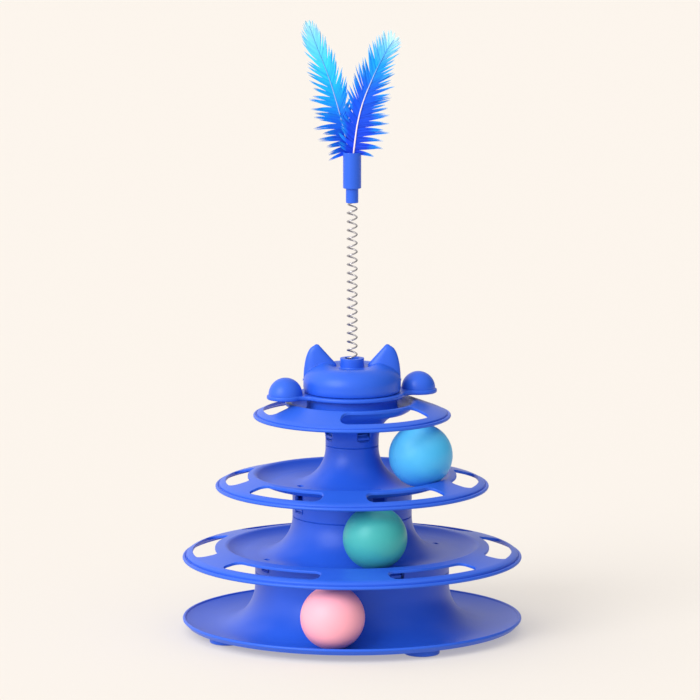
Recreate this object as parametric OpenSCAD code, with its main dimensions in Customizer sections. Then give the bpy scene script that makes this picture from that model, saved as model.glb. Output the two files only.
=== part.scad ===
/* [Balls] */
// Diameter of each track ball
ball_d = 45; // [44:0.5:46]
// Wall of a hollow ball
ball_wall = 1.5; // [1.2:0.1:2.5]
// Running gap between a ball and the track it rolls on
ball_gap = 0.3; // [0.2:0.05:0.5]
// Front angle of the pink ball on the base track, from the front towards the right
pink_ball_turn = -8; // [-60:1:60]
// Front angle of the green ball on the middle track
green_ball_turn = 13; // [-60:1:60]
// Front angle of the blue ball on the upper track
blue_ball_turn = 66; // [-90:1:90]

/* [Tower] */
// Wall of the moulded trays
wall = 2; // [1.8:0.1:2.4]
// Radius of the rounding along each tray's crest
crest_round = 4; // [3:0.25:5]
// Radius of the bead along each tray's rim
bead_r = 1.2; // [1.1:0.05:1.4]
// Width of the rolled edge between each tray's band and the bead along its rim
edge_w = 5.9; // [5:0.1:6.5]
// Front angle of the latches
tower_turn = 27; // [0:1:90]

/* [Base tray] */
// Radius of the base and the middle tray over their rims
tray_r = 120; // [116:0.5:126]
// Height of the base track's lowest line above the table
base_floor_z = 5; // [4.5:0.1:6]
// Height of the rim above the track's lowest line
base_rim_h = 5; // [4.5:0.1:6]
// Depth of the lip that hangs from the rim
base_lip_h = 4.9; // [4:0.1:5.2]
// How far the lip's lower edge is drawn in from the rim
base_lip_inset = 3.6; // [2.5:0.1:4.5]
// Width of the rise from the base track's lowest line to its rim
base_rise_w = 22.7; // [20:0.1:26]
// Room between a ball on the base track and the hub
base_room = 6.1; // [4:0.1:9]
// Height of the flare between the base hub and its track
base_flare_h = 28.6; // [25:0.1:32]
// Height of the straight neck above the base hub's flare
base_neck_h = 9.4; // [6:0.1:12]

/* [Feet] */
// Radius of a foot
foot_r = 12.5; // [11:0.5:13]
// Distance of each foot's middle inside the base's rim
foot_inset = 20; // [19:0.5:23]
// Front angle of the first foot
foot_turn = 29; // [0:1:90]
// Radius of the fillet between a foot and the dish above it
foot_fillet = 2; // [1:0.25:2.5]
// Width of the ledge round a foot's stuck-on pad
pad_ledge_w = 2.3; // [1.5:0.1:4]
// Thickness of a foot's pad
pad_t = 1.4; // [1.2:0.1:1.6]
// Height of the pad that stands proud of its foot
pad_proud = 0.4; // [0.3:0.1:0.6]
// Number of feet
foot_count = 4; // [3:1:6]

/* [Middle tray] */
// Room between the base hub's spigot and the middle tray's floor
mid_collar_room = 1; // [0.6:0.1:3]
// Width of the band from the middle tray's crest to its rim
mid_band_w = 30; // [28:0.5:31]
// Width of the rise from the flat of the middle track to the crest
mid_rise_w = 14; // [12:0.5:16]
// Width of the middle track's flat outside the balls' path
mid_flat_out = 5; // [3:0.1:8]
// Width of the middle track's flat inside the balls' path
mid_flat_in = 2.8; // [1:0.1:5]
// Room between a ball on the middle track and the hub
mid_room = 6.3; // [4:0.1:9]
// Height of the middle crest above its track
mid_crest_h = 4.9; // [4.5:0.1:5.4]
// Depth of the middle rim's lower edge below its track
mid_rim_drop = 4.6; // [4.2:0.1:5]
// Height of the middle tray's rolled edge
mid_edge_h = 3.6; // [3.2:0.1:4]
// Height of the flare between the middle hub and its track
mid_flare_h = 26; // [24:0.25:28]
// Height of the straight neck above the middle hub's flare
mid_neck_h = 0.4; // [0.4:0.1:2]

/* [Upper tray] */
// Room between the middle hub's spigot and the upper tray's floor
upper_collar_room = 11.6; // [8:0.1:14]
// Radius of the upper hub at its top
upper_hub_r = 18.8; // [18:0.1:20]
// Room between a ball on the upper track and the hub
upper_room = 11.5; // [10:0.1:14]
// Width of the upper track's flat inside the balls' path
upper_flat_in = 8; // [6:0.1:9]
// Width of the upper track's flat outside the balls' path
upper_flat_out = 3; // [2:0.1:5]
// Width of the rise from the flat of the upper track to the crest
upper_rise_w = 14.2; // [13.5:0.1:16]
// Width of the band from the upper tray's crest to its rim
upper_band_w = 26.6; // [25:0.1:28]
// Height of the upper crest above its track
upper_crest_h = 6.2; // [5.6:0.1:6.4]
// Depth of the upper rim's lower edge below its track
upper_rim_drop = 3.8; // [3.5:0.1:4.2]
// Height of the upper tray's rolled edge
upper_edge_h = 3; // [2.6:0.1:3.4]
// Height of the flare between the upper hub and its track
upper_flare_h = 25.2; // [24:0.2:27]
// Height of the straight neck above the upper hub's flare
upper_neck_h = 1.4; // [0.6:0.1:3]

/* [Slots] */
// Front angles of the middles of the middle tray's slots
mid_slot_turns = [-33.5, 33, 92, 148, 206, 264.5];
// Angles that the middle tray's slots span
mid_slot_spans = [42.5, 37.5, 43, 41, 41, 43];
// Distance of the middle tray's slots outside its crest
mid_slot_inset = 7; // [6:0.25:8]
// Front angles of the middles of the upper tray's slots
upper_slot_turns = [-35.3, 27.7, 87, 146.5, 206.5, 266.5];
// Angle that each of the upper tray's slots spans
upper_slot_span = 41; // [30:1:44]
// Distance of the upper tray's slots outside its crest
upper_slot_inset = 3.8; // [3:0.2:5]
// Radius of the corners of the trays' slots
slot_corner_r = 6; // [4:0.25:7]

/* [Top disc] */
// Room between the upper hub's spigot and the top disc's dish
top_collar_room = 13.6; // [12:0.1:16]
// Distance of the drum's side inside the head's
drum_inset = 2.4; // [1.5:0.1:4]
// Height of the drum above the dish
drum_h = 9.1; // [8:0.1:10]
// Width of the rise from the dish to the top disc's crest
top_rise_w = 9.5; // [9:0.1:10.5]
// Height of the crest above the dish
top_crest_h = 5.8; // [5:0.1:6.5]
// Width of the band from the top disc's crest to its rim
top_band_w = 24.3; // [22:0.1:26]
// Depth of the rim's lower edge below the dish
top_rim_drop = 5.7; // [5.4:0.1:6]
// Height of the top disc's rolled edge
top_edge_h = 3; // [2.6:0.1:3.4]
// Width of the flare from the collar to the dish
top_flare_w = 19.6; // [17:0.2:22]
// Height of the flare from the collar to the dish
top_flare_h = 19.5; // [17:0.25:21]
// Front angles of the middles of the top disc's slots
top_slot_turns = [27.3, 148.5, 260.5];
// Angle that a slot of the top disc spans
top_slot_span = 71; // [66:1:76]
// Distance of the top disc's slots outside its crest
top_slot_inset = 1.7; // [1.4:0.1:2.6]
// Radius of the corners of the top disc's slots
top_slot_corner_r = 6; // [4:0.25:6.5]

/* [Latches] */
// Depth of each hub's spigot in the collar above it
spigot_h = 10.1; // [9.8:0.1:10.4]
// Radial gap between a spigot and its collar
spigot_gap = 0.15; // [0.1:0.01:0.2]
// Width of a latch window
window_w = 9.6; // [8:0.2:10.5]
// Height of a latch window's sill above its seam
window_sill = 5.4; // [4.8:0.1:5.6]
// Height of a latch tab
latch_h = 3.8; // [3.2:0.1:3.8]
// Gap between a latch tab and its window
latch_gap = 0.3; // [0.2:0.05:0.4]
// Width of the shallow frame round a window
window_frame_w = 0.8; // [0.6:0.1:1.2]
// Depth of the shallow frame round a window
window_frame_depth = 0.4; // [0.3:0.1:0.6]
// Number of latches round a collar
latch_count = 4; // [3:1:4]
// Size of the chamfer at each seam
seam_chamfer = 0.35; // [0.2:0.05:0.5]

/* [Turning plate] */
// Width of the plate's edge that shows round the head
plate_edge_w = 3.1; // [2.5:0.1:4.5]
// Thickness of the plate
plate_t = 3; // [2.6:0.1:3.4]
// Gap between the plate and the drum, and between the head and the plate
plate_gap = 0.3; // [0.2:0.05:0.5]
// Radial running gap between the plate and its pivot
pivot_gap = 0.08; // [0.05:0.01:0.1]
// Wall of the pivot that the plate turns on, round the head's stem
pivot_wall = 3.35; // [2.5:0.05:4]
// Distance of each paw's middle outside the plate's round edge
paw_reach = 11.6; // [10:0.1:13]
// Radius of the rim round a paw
paw_rim_r = 13.2; // [13:0.1:14]
// Radius of a paw's dome
paw_r = 11.9; // [11:0.1:12.2]
// Height of the straight foot of a paw's dome
paw_foot_h = 1.6; // [1:0.1:2.5]
// Wall of a paw's dome
paw_wall = 1.6; // [1.2:0.1:2]
// Radius of the fillets between the plate and a paw
paw_fillet = 7; // [5:0.25:9]
// Front angle of the right paw
paw_turn = 107.5; // [60:0.5:150]

/* [Head] */
// Largest radius of the head
head_r = 34.4; // [33.5:0.1:35]
// Height of the head from its lower edge to its crown
head_h = 18.3; // [17.5:0.1:20]
// Radius of the head's shoulder
head_shoulder_r = 12; // [10.5:0.25:12.5]
// Height of the tuck along the head's lower edge
head_tuck_h = 4; // [3:0.25:5]
// Depth of the tuck along the head's lower edge
head_tuck = 0.9; // [0.5:0.1:1.2]
// Depth of the dimple round the collar
head_dimple = 1.4; // [1:0.1:2]
// Wall of the head
head_wall = 2; // [1.8:0.1:2.4]
// Wall of the collar that the spring comes out of
head_collar_wall = 3.3; // [2.6:0.1:3.8]
// Height of the collar above the dimple
head_collar_h = 6.8; // [6:0.1:7.5]
// Room round the spring in the collar's recess
head_recess_room = 1.25; // [0.8:0.05:1.6]
// Depth of the recess in the collar
head_recess_h = 4; // [3:0.1:5]
// Radius of the head's stem in the pivot
stem_r = 10.5; // [9.5:0.1:11]
// Radius of the lip that latches the stem under the drum
stem_lip = 0.8; // [0.5:0.1:1]
// Width of each slit in the stem
stem_slit_w = 2; // [1.5:0.1:2.5]
// Number of ribs inside the head
head_rib_count = 6; // [4:1:8]
// Thickness of a rib inside the head
head_rib_t = 1.6; // [1.2:0.1:2]

/* [Ears] */
// Distance of an ear's tip inside the head's side
ear_tip_inset = 9.5; // [8:0.1:12]
// Height of an ear's tip above the crown
ear_tip_h = 15.2; // [13:0.1:17]
// Radius of an ear's rounded tip
ear_tip_r = 2.3; // [1.8:0.1:2.6]
// Gap between an ear's inner foot and the collar
ear_collar_gap = 2.5; // [1.5:0.1:4]
// Thickness of an ear at its foot
ear_t = 10; // [8:0.25:12]
// Thickness of an ear's edge
ear_edge_t = 3.4; // [2.6:0.1:4]

/* [Spring] */
// Diameter of the spring's wire
wire_d = 1.2; // [1:0.05:1.3]
// Mean radius of the spring's curls
coil_r = 3.35; // [3.3:0.05:3.6]
// How far the spring's end curls draw in to fit their sockets
coil_taper = 0.7; // [0.6:0.05:0.8]
// Length of the spring from end to end
spring_l = 127.5; // [118:0.5:132]
// Number of curls
curl_count = 20.75; // [18:0.25:22]
// Radial gap between the end curls and their sockets
socket_gap = 0.1; // [0.08:0.01:0.15]
// Gap between the end of the wire or a quill and the floor of its socket
end_gap = 0.3; // [0.2:0.05:0.5]
// Depth of the socket in the head
socket_depth = 6.5; // [5.5:0.25:7]
// Depth of the spring's upper end in its sleeve
sleeve_grip = 7; // [6:0.25:8]

/* [Wand head] */
// Wall of the sleeve on the spring
sleeve_wall = 1.05; // [0.9:0.05:1.4]
// Length of the sleeve that shows
sleeve_l = 10.3; // [9.5:0.1:12]
// Wall of the ferrule round the sleeve
ferrule_wall = 1.95; // [1.6:0.05:2.4]
// Length of the ferrule
ferrule_l = 25.4; // [23:0.2:28]
// Depth of the sleeve's seat in the ferrule
sleeve_seat = 8; // [6:0.25:9]
// Chamfer along the ends of the sleeve and the ferrule
tube_chamfer = 0.5; // [0.3:0.1:0.7]
// Depth of the recess in the ferrule's top
ferrule_recess_h = 1.6; // [1:0.1:2.5]
// Wall round the recess in the ferrule's top
ferrule_rim_t = 1.2; // [0.9:0.1:1.5]

/* [Feathers] */
// Height of the left feather above the ferrule
left_feather_h = 95.1; // [85:0.5:100]
// Lean of the left feather's tip from the axis
left_feather_lean = 30.3; // [24:0.2:34]
// Height of the right feather above the ferrule
right_feather_h = 87.9; // [80:0.5:95]
// Lean of the right feather's tip from the axis
right_feather_lean = 31.5; // [24:0.2:34]
// Largest half width of the left feather
left_vane_w = 19; // [15:0.25:20]
// Largest half width of the right feather
right_vane_w = 22; // [17:0.25:23]
// Thickness of a vane
vane_t = 0.8; // [0.6:0.05:1]
// Radius of a quill at its foot
quill_r = 0.95; // [0.8:0.05:1.1]
// Radius of a quill at its tip
quill_tip_r = 0.3; // [0.2:0.05:0.4]
// Depth of a quill in the ferrule
quill_depth = 10; // [8:0.25:12]
// Gap between a quill and its hole
quill_gap = 0.1; // [0.08:0.01:0.15]
// Number of barb tips along each side of a feather
barb_count = 26; // [16:1:34]
// Distance of each quill's hole from the ferrule's axis, across and in depth
quill_place_x = 1.3; // [1.2:0.05:1.6]
// Distance of each feather in front of or behind the axis
quill_place_y = 1.7; // [1.6:0.05:2]

/* [Hidden] */

// Facets of a full turn, and of the arcs in a profile
round_fn = 120;
small_fn = 48;
arc_steps = 18;
soft_steps = 8;
corner_steps = 5;
// How far a cut runs past what it cuts
over = 1;
// The strip of the band left between a slot and the rolled edge
slot_strip = 0.15;
quarter = 90;
half_turn = 180;
full_turn = 360;

// Heights of the stack, from the table up
base_hub_top = base_floor_z + base_flare_h + base_neck_h;
mid_floor_z = base_hub_top + spigot_h + mid_collar_room + wall;
mid_hub_top = mid_floor_z + mid_flare_h + mid_neck_h;
upper_floor_z = mid_hub_top + spigot_h + upper_collar_room + wall;
upper_hub_top = upper_floor_z + upper_flare_h + upper_neck_h;
top_floor_z = upper_hub_top + spigot_h + top_collar_room + wall;
drum_top = top_floor_z + drum_h;
plate_z = drum_top + plate_gap;
head_z = plate_z + plate_t + plate_gap;
crown_z = head_z + head_h;
dimple_z = crown_z - head_dimple;
collar_top = dimple_z + head_collar_h;
socket_top = collar_top - head_recess_h;
spring_z = socket_top - socket_depth + end_gap;
sleeve_z = spring_z + spring_l - sleeve_grip;
ferrule_z = sleeve_z + sleeve_l;
ferrule_top = ferrule_z + ferrule_l;

// Radii, from the rims of the two large trays inwards and from the upper hub outwards
ball_r = ball_d / 2;
base_path_r = tray_r - base_rise_w;
base_hub_r = base_path_r - ball_r - base_room;
foot_place_r = tray_r - foot_inset;
pad_r = foot_r - pad_ledge_w;
mid_crest_r = tray_r - mid_band_w;
mid_path_r = mid_crest_r - mid_rise_w - mid_flat_out;
mid_hub_r = mid_path_r - ball_r - mid_room;
upper_path_r = upper_hub_r + upper_room + ball_r;
upper_crest_r = upper_path_r + upper_flat_out + upper_rise_w;
upper_r = upper_crest_r + upper_band_w;

// Radii about the head and along the wand
drum_r = head_r - drum_inset;
dish_r = drum_r + crest_round;
top_crest_r = dish_r + top_rise_w;
top_r = top_crest_r + top_band_w;
plate_r = head_r + plate_edge_w;
paw_place_r = plate_r + paw_reach;
pivot_r = stem_r + spigot_gap + pivot_wall;
coil_end_r = coil_r - coil_taper;
socket_r = coil_end_r + wire_d / 2 + socket_gap;
head_recess_r = coil_r + wire_d / 2 + head_recess_room;
head_collar_r = head_recess_r + head_collar_wall;
sleeve_r = socket_r + sleeve_wall;
ferrule_bore_r = sleeve_r + socket_gap / 2;
ferrule_r = ferrule_bore_r + ferrule_wall;
ear_tip_x = head_r - ear_tip_inset;
ear_inner_x = head_collar_r + ear_collar_gap;

// Each tray: hub radius, hub top, floor, flare width, flare height, flat width, crest radius, crest height,
// rim radius, the rim's drop and the height of its rolled edge
mid_tray = [
    mid_hub_r, mid_hub_top, mid_floor_z, mid_path_r - mid_flat_in - mid_hub_r, mid_flare_h,
    mid_flat_in + mid_flat_out, mid_crest_r, mid_crest_h, tray_r, mid_rim_drop, mid_edge_h
];
high_tray = [
    upper_hub_r, upper_hub_top, upper_floor_z, upper_path_r - upper_flat_in - upper_hub_r, upper_flare_h,
    upper_flat_in + upper_flat_out, upper_crest_r, upper_crest_h, upper_r, upper_rim_drop, upper_edge_h
];

blue = [0.24, 0.42, 0.93];
deep_blue = [0.07, 0.25, 0.8];
pale_blue = [0.42, 0.76, 0.95];
pad_grey = [0.16, 0.2, 0.32];
steel = [0.76, 0.75, 0.76];

function arc(cx, cz, r, a0, a1, n) =
    [for (i = [0:n]) let (a = a0 + (a1 - a0) * i / n) [cx + r * cos(a), cz + r * sin(a)]];
function oval(cx, cz, w, h, a0, a1, n) =
    [for (i = [0:n]) let (a = a0 + (a1 - a0) * i / n) [cx + w * cos(a), cz + h * sin(a)]];
function but_last(p) = [for (i = [0:len(p) - 2]) p[i]];
function turned_about(p) = [for (i = [len(p) - 1:-1:0]) p[i]];
function smooth(u) = let (v = min(1, max(0, u))) v * v * (3 - 2 * v);

// Angle at which a rise of this width and height ends, when it starts level
function rise_angle(w, h) = 2 * atan(h / w);

// A crest's rounding, the straight band outside it and the rolled edge down to the bead, d below the upper
// surface: a is the angle of the rise inside the crest, end the point where the edge meets the bead
function band_line(crest_r, crest_cz, a, end, edge_h, d) =
    let (s = end + [-edge_w, edge_h])
    let (dx = s[0] - crest_r, dz = crest_cz - s[1])
    let (b = atan2(dz, dx) + asin(crest_round / norm([dx, dz])))
    let (c = atan2(edge_h, edge_w))
    let (edge_r = norm([edge_w, edge_h]) / (2 * sin(c - b)))
    concat(
        arc(crest_r, crest_cz, crest_round - d, quarter + a, quarter - b, soft_steps),
        arc(s[0] - edge_r * sin(b), s[1] - edge_r * cos(b), edge_r - d, quarter - b,
            quarter - 2 * c + b, soft_steps)
    );

// One surface of a tray, from its hub's top to its rim, d below the upper surface
function tray_line(t, d) =
    let (hub_r = t[0], hub_top = t[1], floor_z = t[2], flare_w = t[3], flare_h = t[4])
    let (rise_r = hub_r + flare_w + t[5], crest_r = t[6], crest_h = t[7], drop = t[9])
    let (a = rise_angle(crest_r - rise_r, crest_h))
    let (bend_r = (crest_r - rise_r) / sin(a) - crest_round)
    let (end = [t[8] - bead_r, floor_z - drop + bead_r + wall / 2])
    concat(
        [[hub_r - d, hub_top]],
        oval(hub_r + flare_w, floor_z + flare_h, flare_w + d, flare_h + d, half_turn,
            half_turn + quarter, arc_steps),
        arc(rise_r, floor_z + bend_r, bend_r + d, -quarter, a - quarter, soft_steps),
        band_line(crest_r, floor_z + crest_h - crest_round, a, end, t[10], d)
    );

// A tray's shell, with the collar that stands it on a hub of this radius and height
module tray_shell(t, collar_r, seam_z) {
    rotate_extrude($fn = round_fn) {
        polygon(concat(tray_line(t, 0), turned_about(tray_line(t, wall))));
        translate([t[8] - bead_r, t[2] - t[9] + bead_r])
            circle(r = bead_r, $fn = small_fn);
    }
    rotate_extrude($fn = round_fn)
        intersection() {
            collar_section(collar_r, seam_z, t[1]);
            polygon(concat(tray_line(t, wall / 2), [[t[8], seam_z], [t[0] - wall, seam_z]]));
        }
}

// Copies what follows round the axis, the first copy at a front angle
module round_tower(count, turn) {
    for (i = [0:count - 1])
        rotate([0, 0, turn - quarter + full_turn * i / count])
            children();
}

// Copies what follows to each of these front angles
module at_turns(turns) {
    for (a = turns)
        rotate([0, 0, a - quarter])
            children();
}

// Outline of a slot that follows the rim, with radial ends and round corners, about a front angle of zero
function slot_outline(r_in, w, span, corner_r) =
    let (in_r = r_in + corner_r)
    let (out_r = r_in + w - corner_r)
    let (half = span / 2)
    let (in_a = half - asin(corner_r / in_r))
    let (out_a = half - asin(corner_r / out_r))
    let (in_x = in_r * cos(in_a), in_y = in_r * sin(in_a))
    let (out_x = out_r * cos(out_a), out_y = out_r * sin(out_a))
    let (side = half + quarter)
    concat(
        but_last(arc(0, 0, r_in + w, -out_a, out_a, arc_steps)),
        arc(out_x, out_y, corner_r, out_a, side, corner_steps),
        but_last(arc(in_x, in_y, corner_r, side, in_a + half_turn, corner_steps)),
        but_last(arc(0, 0, r_in, in_a, -in_a, arc_steps)),
        arc(in_x, -in_y, corner_r, half_turn - in_a, full_turn - side, corner_steps),
        but_last(arc(out_x, -out_y, corner_r, -side, -out_a, corner_steps))
    );

// The slot's cutter, straight down through a band, out to just inside the rolled edge of a rim of this radius
module slot_cut(r_in, rim_r, span, corner_r, z0, z1) {
    translate([0, 0, z0])
        linear_extrude(z1 - z0)
            polygon(slot_outline(r_in, rim_r - bead_r - edge_w - slot_strip - r_in, span, corner_r));
}

// Section of the ring that stands a tray on the hub below it, with a chamfer at its seam
module collar_section(r, z0, z1) {
    polygon([
        [r - wall, z0], [r - seam_chamfer, z0], [r, z0 + seam_chamfer], [r, z1], [r - wall, z1]
    ]);
}

// The spigot above a hub, with its shoulder inside the hub and a tab in each window
module spigot(r, z0) {
    out_r = r - wall - spigot_gap;
    in_r = out_r - wall;
    lead = seam_chamfer * 2;
    rotate_extrude($fn = round_fn)
        polygon([
            [r - wall / 2, z0 - 2 * wall], [r - wall / 2, z0 - seam_chamfer],
            [r - wall / 2 - seam_chamfer, z0], [out_r, z0], [out_r, z0 + spigot_h - lead],
            [out_r - lead, z0 + spigot_h], [in_r, z0 + spigot_h],
            [in_r, z0 - wall], [r - wall, z0 - 2 * wall]
        ]);
    round_tower(latch_count, tower_turn)
        latch_tab(r, out_r, z0 + window_sill + latch_gap);
}

module latch_tab(r, out_r, z) {
    face_r = r - window_frame_depth;
    w = window_w - 2 * latch_gap;
    translate([0, w / 2, 0])
        rotate([quarter, 0, 0])
            linear_extrude(w)
                polygon([
                    [out_r - wall / 2, z], [face_r, z], [face_r, z + latch_h / 2],
                    [out_r - wall / 2, z + latch_h]
                ]);
}

// A latch window in a collar, with its frame and the mould's hole in the floor above it
module window_cut(r, seam_z, floor_z) {
    z0 = seam_z + window_sill;
    z1 = floor_z - wall - seam_chamfer;
    mould_w = window_w - 2 * wall;
    translate([r - 2 * wall, -window_w / 2, z0])
        cube([3 * wall, window_w, z1 - z0]);
    translate([r - wall - over, -mould_w / 2, z0])
        cube([wall + over, mould_w, floor_z + wall - z0]);
    frame_w = window_w + 2 * window_frame_w;
    translate([r - window_frame_depth, -frame_w / 2, z0 - window_frame_w])
        cube([wall, frame_w, z1 - z0 + window_frame_w]);
}

// Half of the base's section: hub, flare, track and its rise to the rim, d below the upper surface
function base_line(d) =
    let (path_r = base_path_r)
    let (flare_w = path_r - base_hub_r)
    let (rise_w = tray_r - bead_r - path_r)
    let (a = rise_angle(rise_w, base_rim_h - wall / 4))
    let (bend_r = rise_w / sin(a))
    concat(
        [[base_hub_r - d, base_hub_top]],
        oval(path_r, base_floor_z + base_flare_h, flare_w + d, base_flare_h + d, half_turn,
            half_turn + quarter, arc_steps),
        arc(path_r, base_floor_z + bend_r, bend_r + d, -quarter, a - quarter, soft_steps)
    );

// The lip under the base's rim, drawn in towards its lower edge
module base_lip() {
    rim_z = base_floor_z + base_rim_h;
    low_r = tray_r - base_lip_inset;
    low_z = rim_z - base_lip_h;
    polygon([
        [tray_r - wall, rim_z - wall], [tray_r - bead_r / 2, rim_z - wall],
        [low_r + wall / 4, low_z], [low_r - wall / 2, low_z]
    ]);
    translate([tray_r - bead_r, rim_z - bead_r])
        circle(r = bead_r, $fn = small_fn);
}

// A foot's section: straight sides, a rounded lower edge and a fillet under the dish
module foot_section() {
    edge_r = pad_ledge_w / 2;
    top_z = base_floor_z + base_rim_h;
    polygon(concat(
        [[0, pad_proud]],
        arc(foot_r - edge_r, pad_proud + edge_r, edge_r, -quarter, 0, soft_steps),
        arc(foot_r + foot_fillet, base_floor_z - wall, foot_fillet, half_turn, quarter, soft_steps),
        [[foot_r + foot_fillet, top_z], [0, top_z]]
    ));
}

module base_tray() {
    color(blue) {
        difference() {
            rotate_extrude($fn = round_fn) {
                polygon(concat(base_line(0), turned_about(base_line(wall - seam_chamfer / 2))));
                base_lip();
            }
            seam_groove(base_hub_r, base_hub_top);
        }
        spigot(base_hub_r, base_hub_top);
        difference() {
            intersection() {
                round_tower(foot_count, foot_turn)
                    translate([foot_place_r, 0, 0])
                        rotate_extrude($fn = small_fn)
                            foot_section();
                rotate_extrude($fn = round_fn)
                    polygon(concat(base_line(wall / 2), [[tray_r - base_lip_inset, 0], [base_hub_r, 0]]));
            }
            round_tower(foot_count, foot_turn)
                translate([foot_place_r, 0, 0])
                    cylinder(r = pad_r + spigot_gap, h = pad_t, $fn = small_fn);
        }
    }
}

// The bevel round a hub's upper edge, which draws the seam
module seam_groove(r, z) {
    rotate_extrude($fn = round_fn)
        polygon([[r - seam_chamfer, z], [r, z - seam_chamfer], [r + over, z], [r, z + over]]);
}

module foot_pads() {
    color(pad_grey)
        round_tower(foot_count, foot_turn)
            translate([foot_place_r, 0, 0])
                cylinder(r = pad_r, h = pad_t, $fn = small_fn);
}

module middle_tray() {
    color(blue) {
        difference() {
            tray_shell(mid_tray, base_hub_r, base_hub_top);
            round_tower(latch_count, tower_turn)
                window_cut(base_hub_r, base_hub_top, mid_floor_z);
            for (i = [0:len(mid_slot_turns) - 1])
                at_turns([mid_slot_turns[i]])
                    slot_cut(mid_crest_r + mid_slot_inset, tray_r, mid_slot_spans[i], slot_corner_r,
                        mid_floor_z - mid_rim_drop, mid_floor_z + mid_crest_h + over);
            seam_groove(mid_hub_r, mid_hub_top);
        }
        spigot(mid_hub_r, mid_hub_top);
    }
}

module upper_tray() {
    color(blue) {
        difference() {
            tray_shell(high_tray, mid_hub_r, mid_hub_top);
            round_tower(latch_count, tower_turn)
                window_cut(mid_hub_r, mid_hub_top, upper_floor_z);
            at_turns(upper_slot_turns)
                slot_cut(upper_crest_r + upper_slot_inset, upper_r, upper_slot_span, slot_corner_r,
                    upper_floor_z - upper_rim_drop, upper_floor_z + upper_crest_h + over);
            seam_groove(upper_hub_r, upper_hub_top);
        }
        spigot(upper_hub_r, upper_hub_top);
    }
}

// The top disc's section: drum, dish, crest and band, d below the upper surface
function top_line(d) =
    let (a = rise_angle(top_crest_r - dish_r, top_crest_h))
    let (bend_r = (top_crest_r - dish_r) / sin(a) - crest_round)
    let (end = [top_r - bead_r, top_floor_z - top_rim_drop + bead_r + wall / 2])
    concat(
        arc(drum_r - wall / 2, drum_top - wall / 2, max(wall / 2 - d, seam_chamfer), quarter, 0,
            soft_steps),
        arc(drum_r + wall, top_floor_z + wall, wall + d, half_turn, half_turn + quarter, soft_steps),
        arc(dish_r, top_floor_z + bend_r, bend_r + d, -quarter, a - quarter, soft_steps),
        band_line(top_crest_r, top_floor_z + top_crest_h - crest_round, a, end, top_edge_h, d)
    );

// The flare under the dish, d inside its outer surface, from the collar up
function top_flare(d) =
    oval(upper_hub_r + top_flare_w, top_floor_z - wall - top_flare_h, top_flare_w + d, top_flare_h + d,
        half_turn, quarter, arc_steps);

module top_disc() {
    stem_hole_r = stem_r + spigot_gap;
    color(blue)
        difference() {
            union() {
                rotate_extrude($fn = round_fn) {
                    polygon(concat(
                        [[stem_hole_r, drum_top]],
                        top_line(0),
                        turned_about(top_line(wall)),
                        [[stem_hole_r, drum_top - wall]]
                    ));
                    translate([top_r - bead_r, top_floor_z - top_rim_drop + bead_r])
                        circle(r = bead_r, $fn = small_fn);
                    polygon(concat(top_flare(0), turned_about(top_flare(wall))));
                    // The pivot that the plate turns on
                    polygon([
                        [stem_hole_r, drum_top - wall], [pivot_r, drum_top - wall],
                        [pivot_r, head_z - seam_chamfer], [pivot_r - seam_chamfer, head_z],
                        [stem_hole_r, head_z]
                    ]);
                }
                rotate_extrude($fn = round_fn)
                    collar_section(upper_hub_r, upper_hub_top, upper_hub_top + spigot_h + wall);
            }
            round_tower(latch_count, tower_turn)
                window_cut(upper_hub_r, upper_hub_top, top_floor_z);
            at_turns(top_slot_turns)
                slot_cut(top_crest_r + top_slot_inset, top_r, top_slot_span, top_slot_corner_r,
                    top_floor_z - top_rim_drop, top_floor_z + top_crest_h + over);
        }
}

// Plan of the turning plate: a disc, two round paws and the fillets between them
module plate_plan() {
    disc_arm = plate_r + paw_fillet;
    paw_arm = paw_rim_r + paw_fillet;
    x = (paw_place_r * paw_place_r + disc_arm * disc_arm - paw_arm * paw_arm) / (2 * paw_place_r);
    y = sqrt(disc_arm * disc_arm - x * x);
    circle(r = plate_r, $fn = round_fn);
    for (s = [-1, 1])
        translate([s * paw_place_r, 0])
            circle(r = paw_rim_r, $fn = small_fn);
    for (s = [-1, 1])
        difference() {
            polygon([[0, 0], [s * x, -y], [s * paw_place_r, 0], [s * x, y]]);
            for (t = [-1, 1])
                translate([s * x, t * y])
                    circle(r = paw_fillet, $fn = small_fn);
        }
}

module paw_plate() {
    shoulder = paw_foot_h + plate_t;
    color(blue)
        translate([0, 0, plate_z])
            rotate([0, 0, paw_turn - quarter])
                difference() {
                    union() {
                        linear_extrude(plate_t)
                            plate_plan();
                        for (s = [-1, 1])
                            translate([s * paw_place_r, 0, shoulder])
                                paw_dome(paw_r, shoulder - plate_t / 2);
                    }
                    translate([0, 0, -over])
                        cylinder(r = pivot_r + pivot_gap, h = plate_t + 2 * over, $fn = round_fn);
                    for (s = [-1, 1])
                        translate([s * paw_place_r, 0, shoulder])
                            paw_dome(paw_r - paw_wall, shoulder + over);
                }
}

// A dome on a straight foot that reaches down by its height
module paw_dome(r, foot) {
    rotate_extrude($fn = small_fn * 2)
        polygon(concat([[0, -foot], [r, -foot]], arc(0, 0, r, 0, quarter, arc_steps)));
}

// The head's section from its lower edge to the collar, d inside the outer surface
function head_line(d) =
    let (side_z = crown_z - head_shoulder_r)
    let (crown_r = head_r - head_shoulder_r)
    let (tuck_z = head_z + head_tuck_h)
    let (foot_r = head_collar_r)
    concat(
        [for (i = [0:soft_steps])
            let (u = i / soft_steps)
            [head_r - d - head_tuck * (1 - u) * (1 - u), head_z + head_tuck_h * u]],
        arc(crown_r, side_z, head_shoulder_r - d, 0, quarter, arc_steps),
        [for (i = [1:soft_steps])
            let (u = i / soft_steps)
            [crown_r + (foot_r - crown_r) * u, crown_z - d - head_dimple * smooth(u)]]
    );

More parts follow.
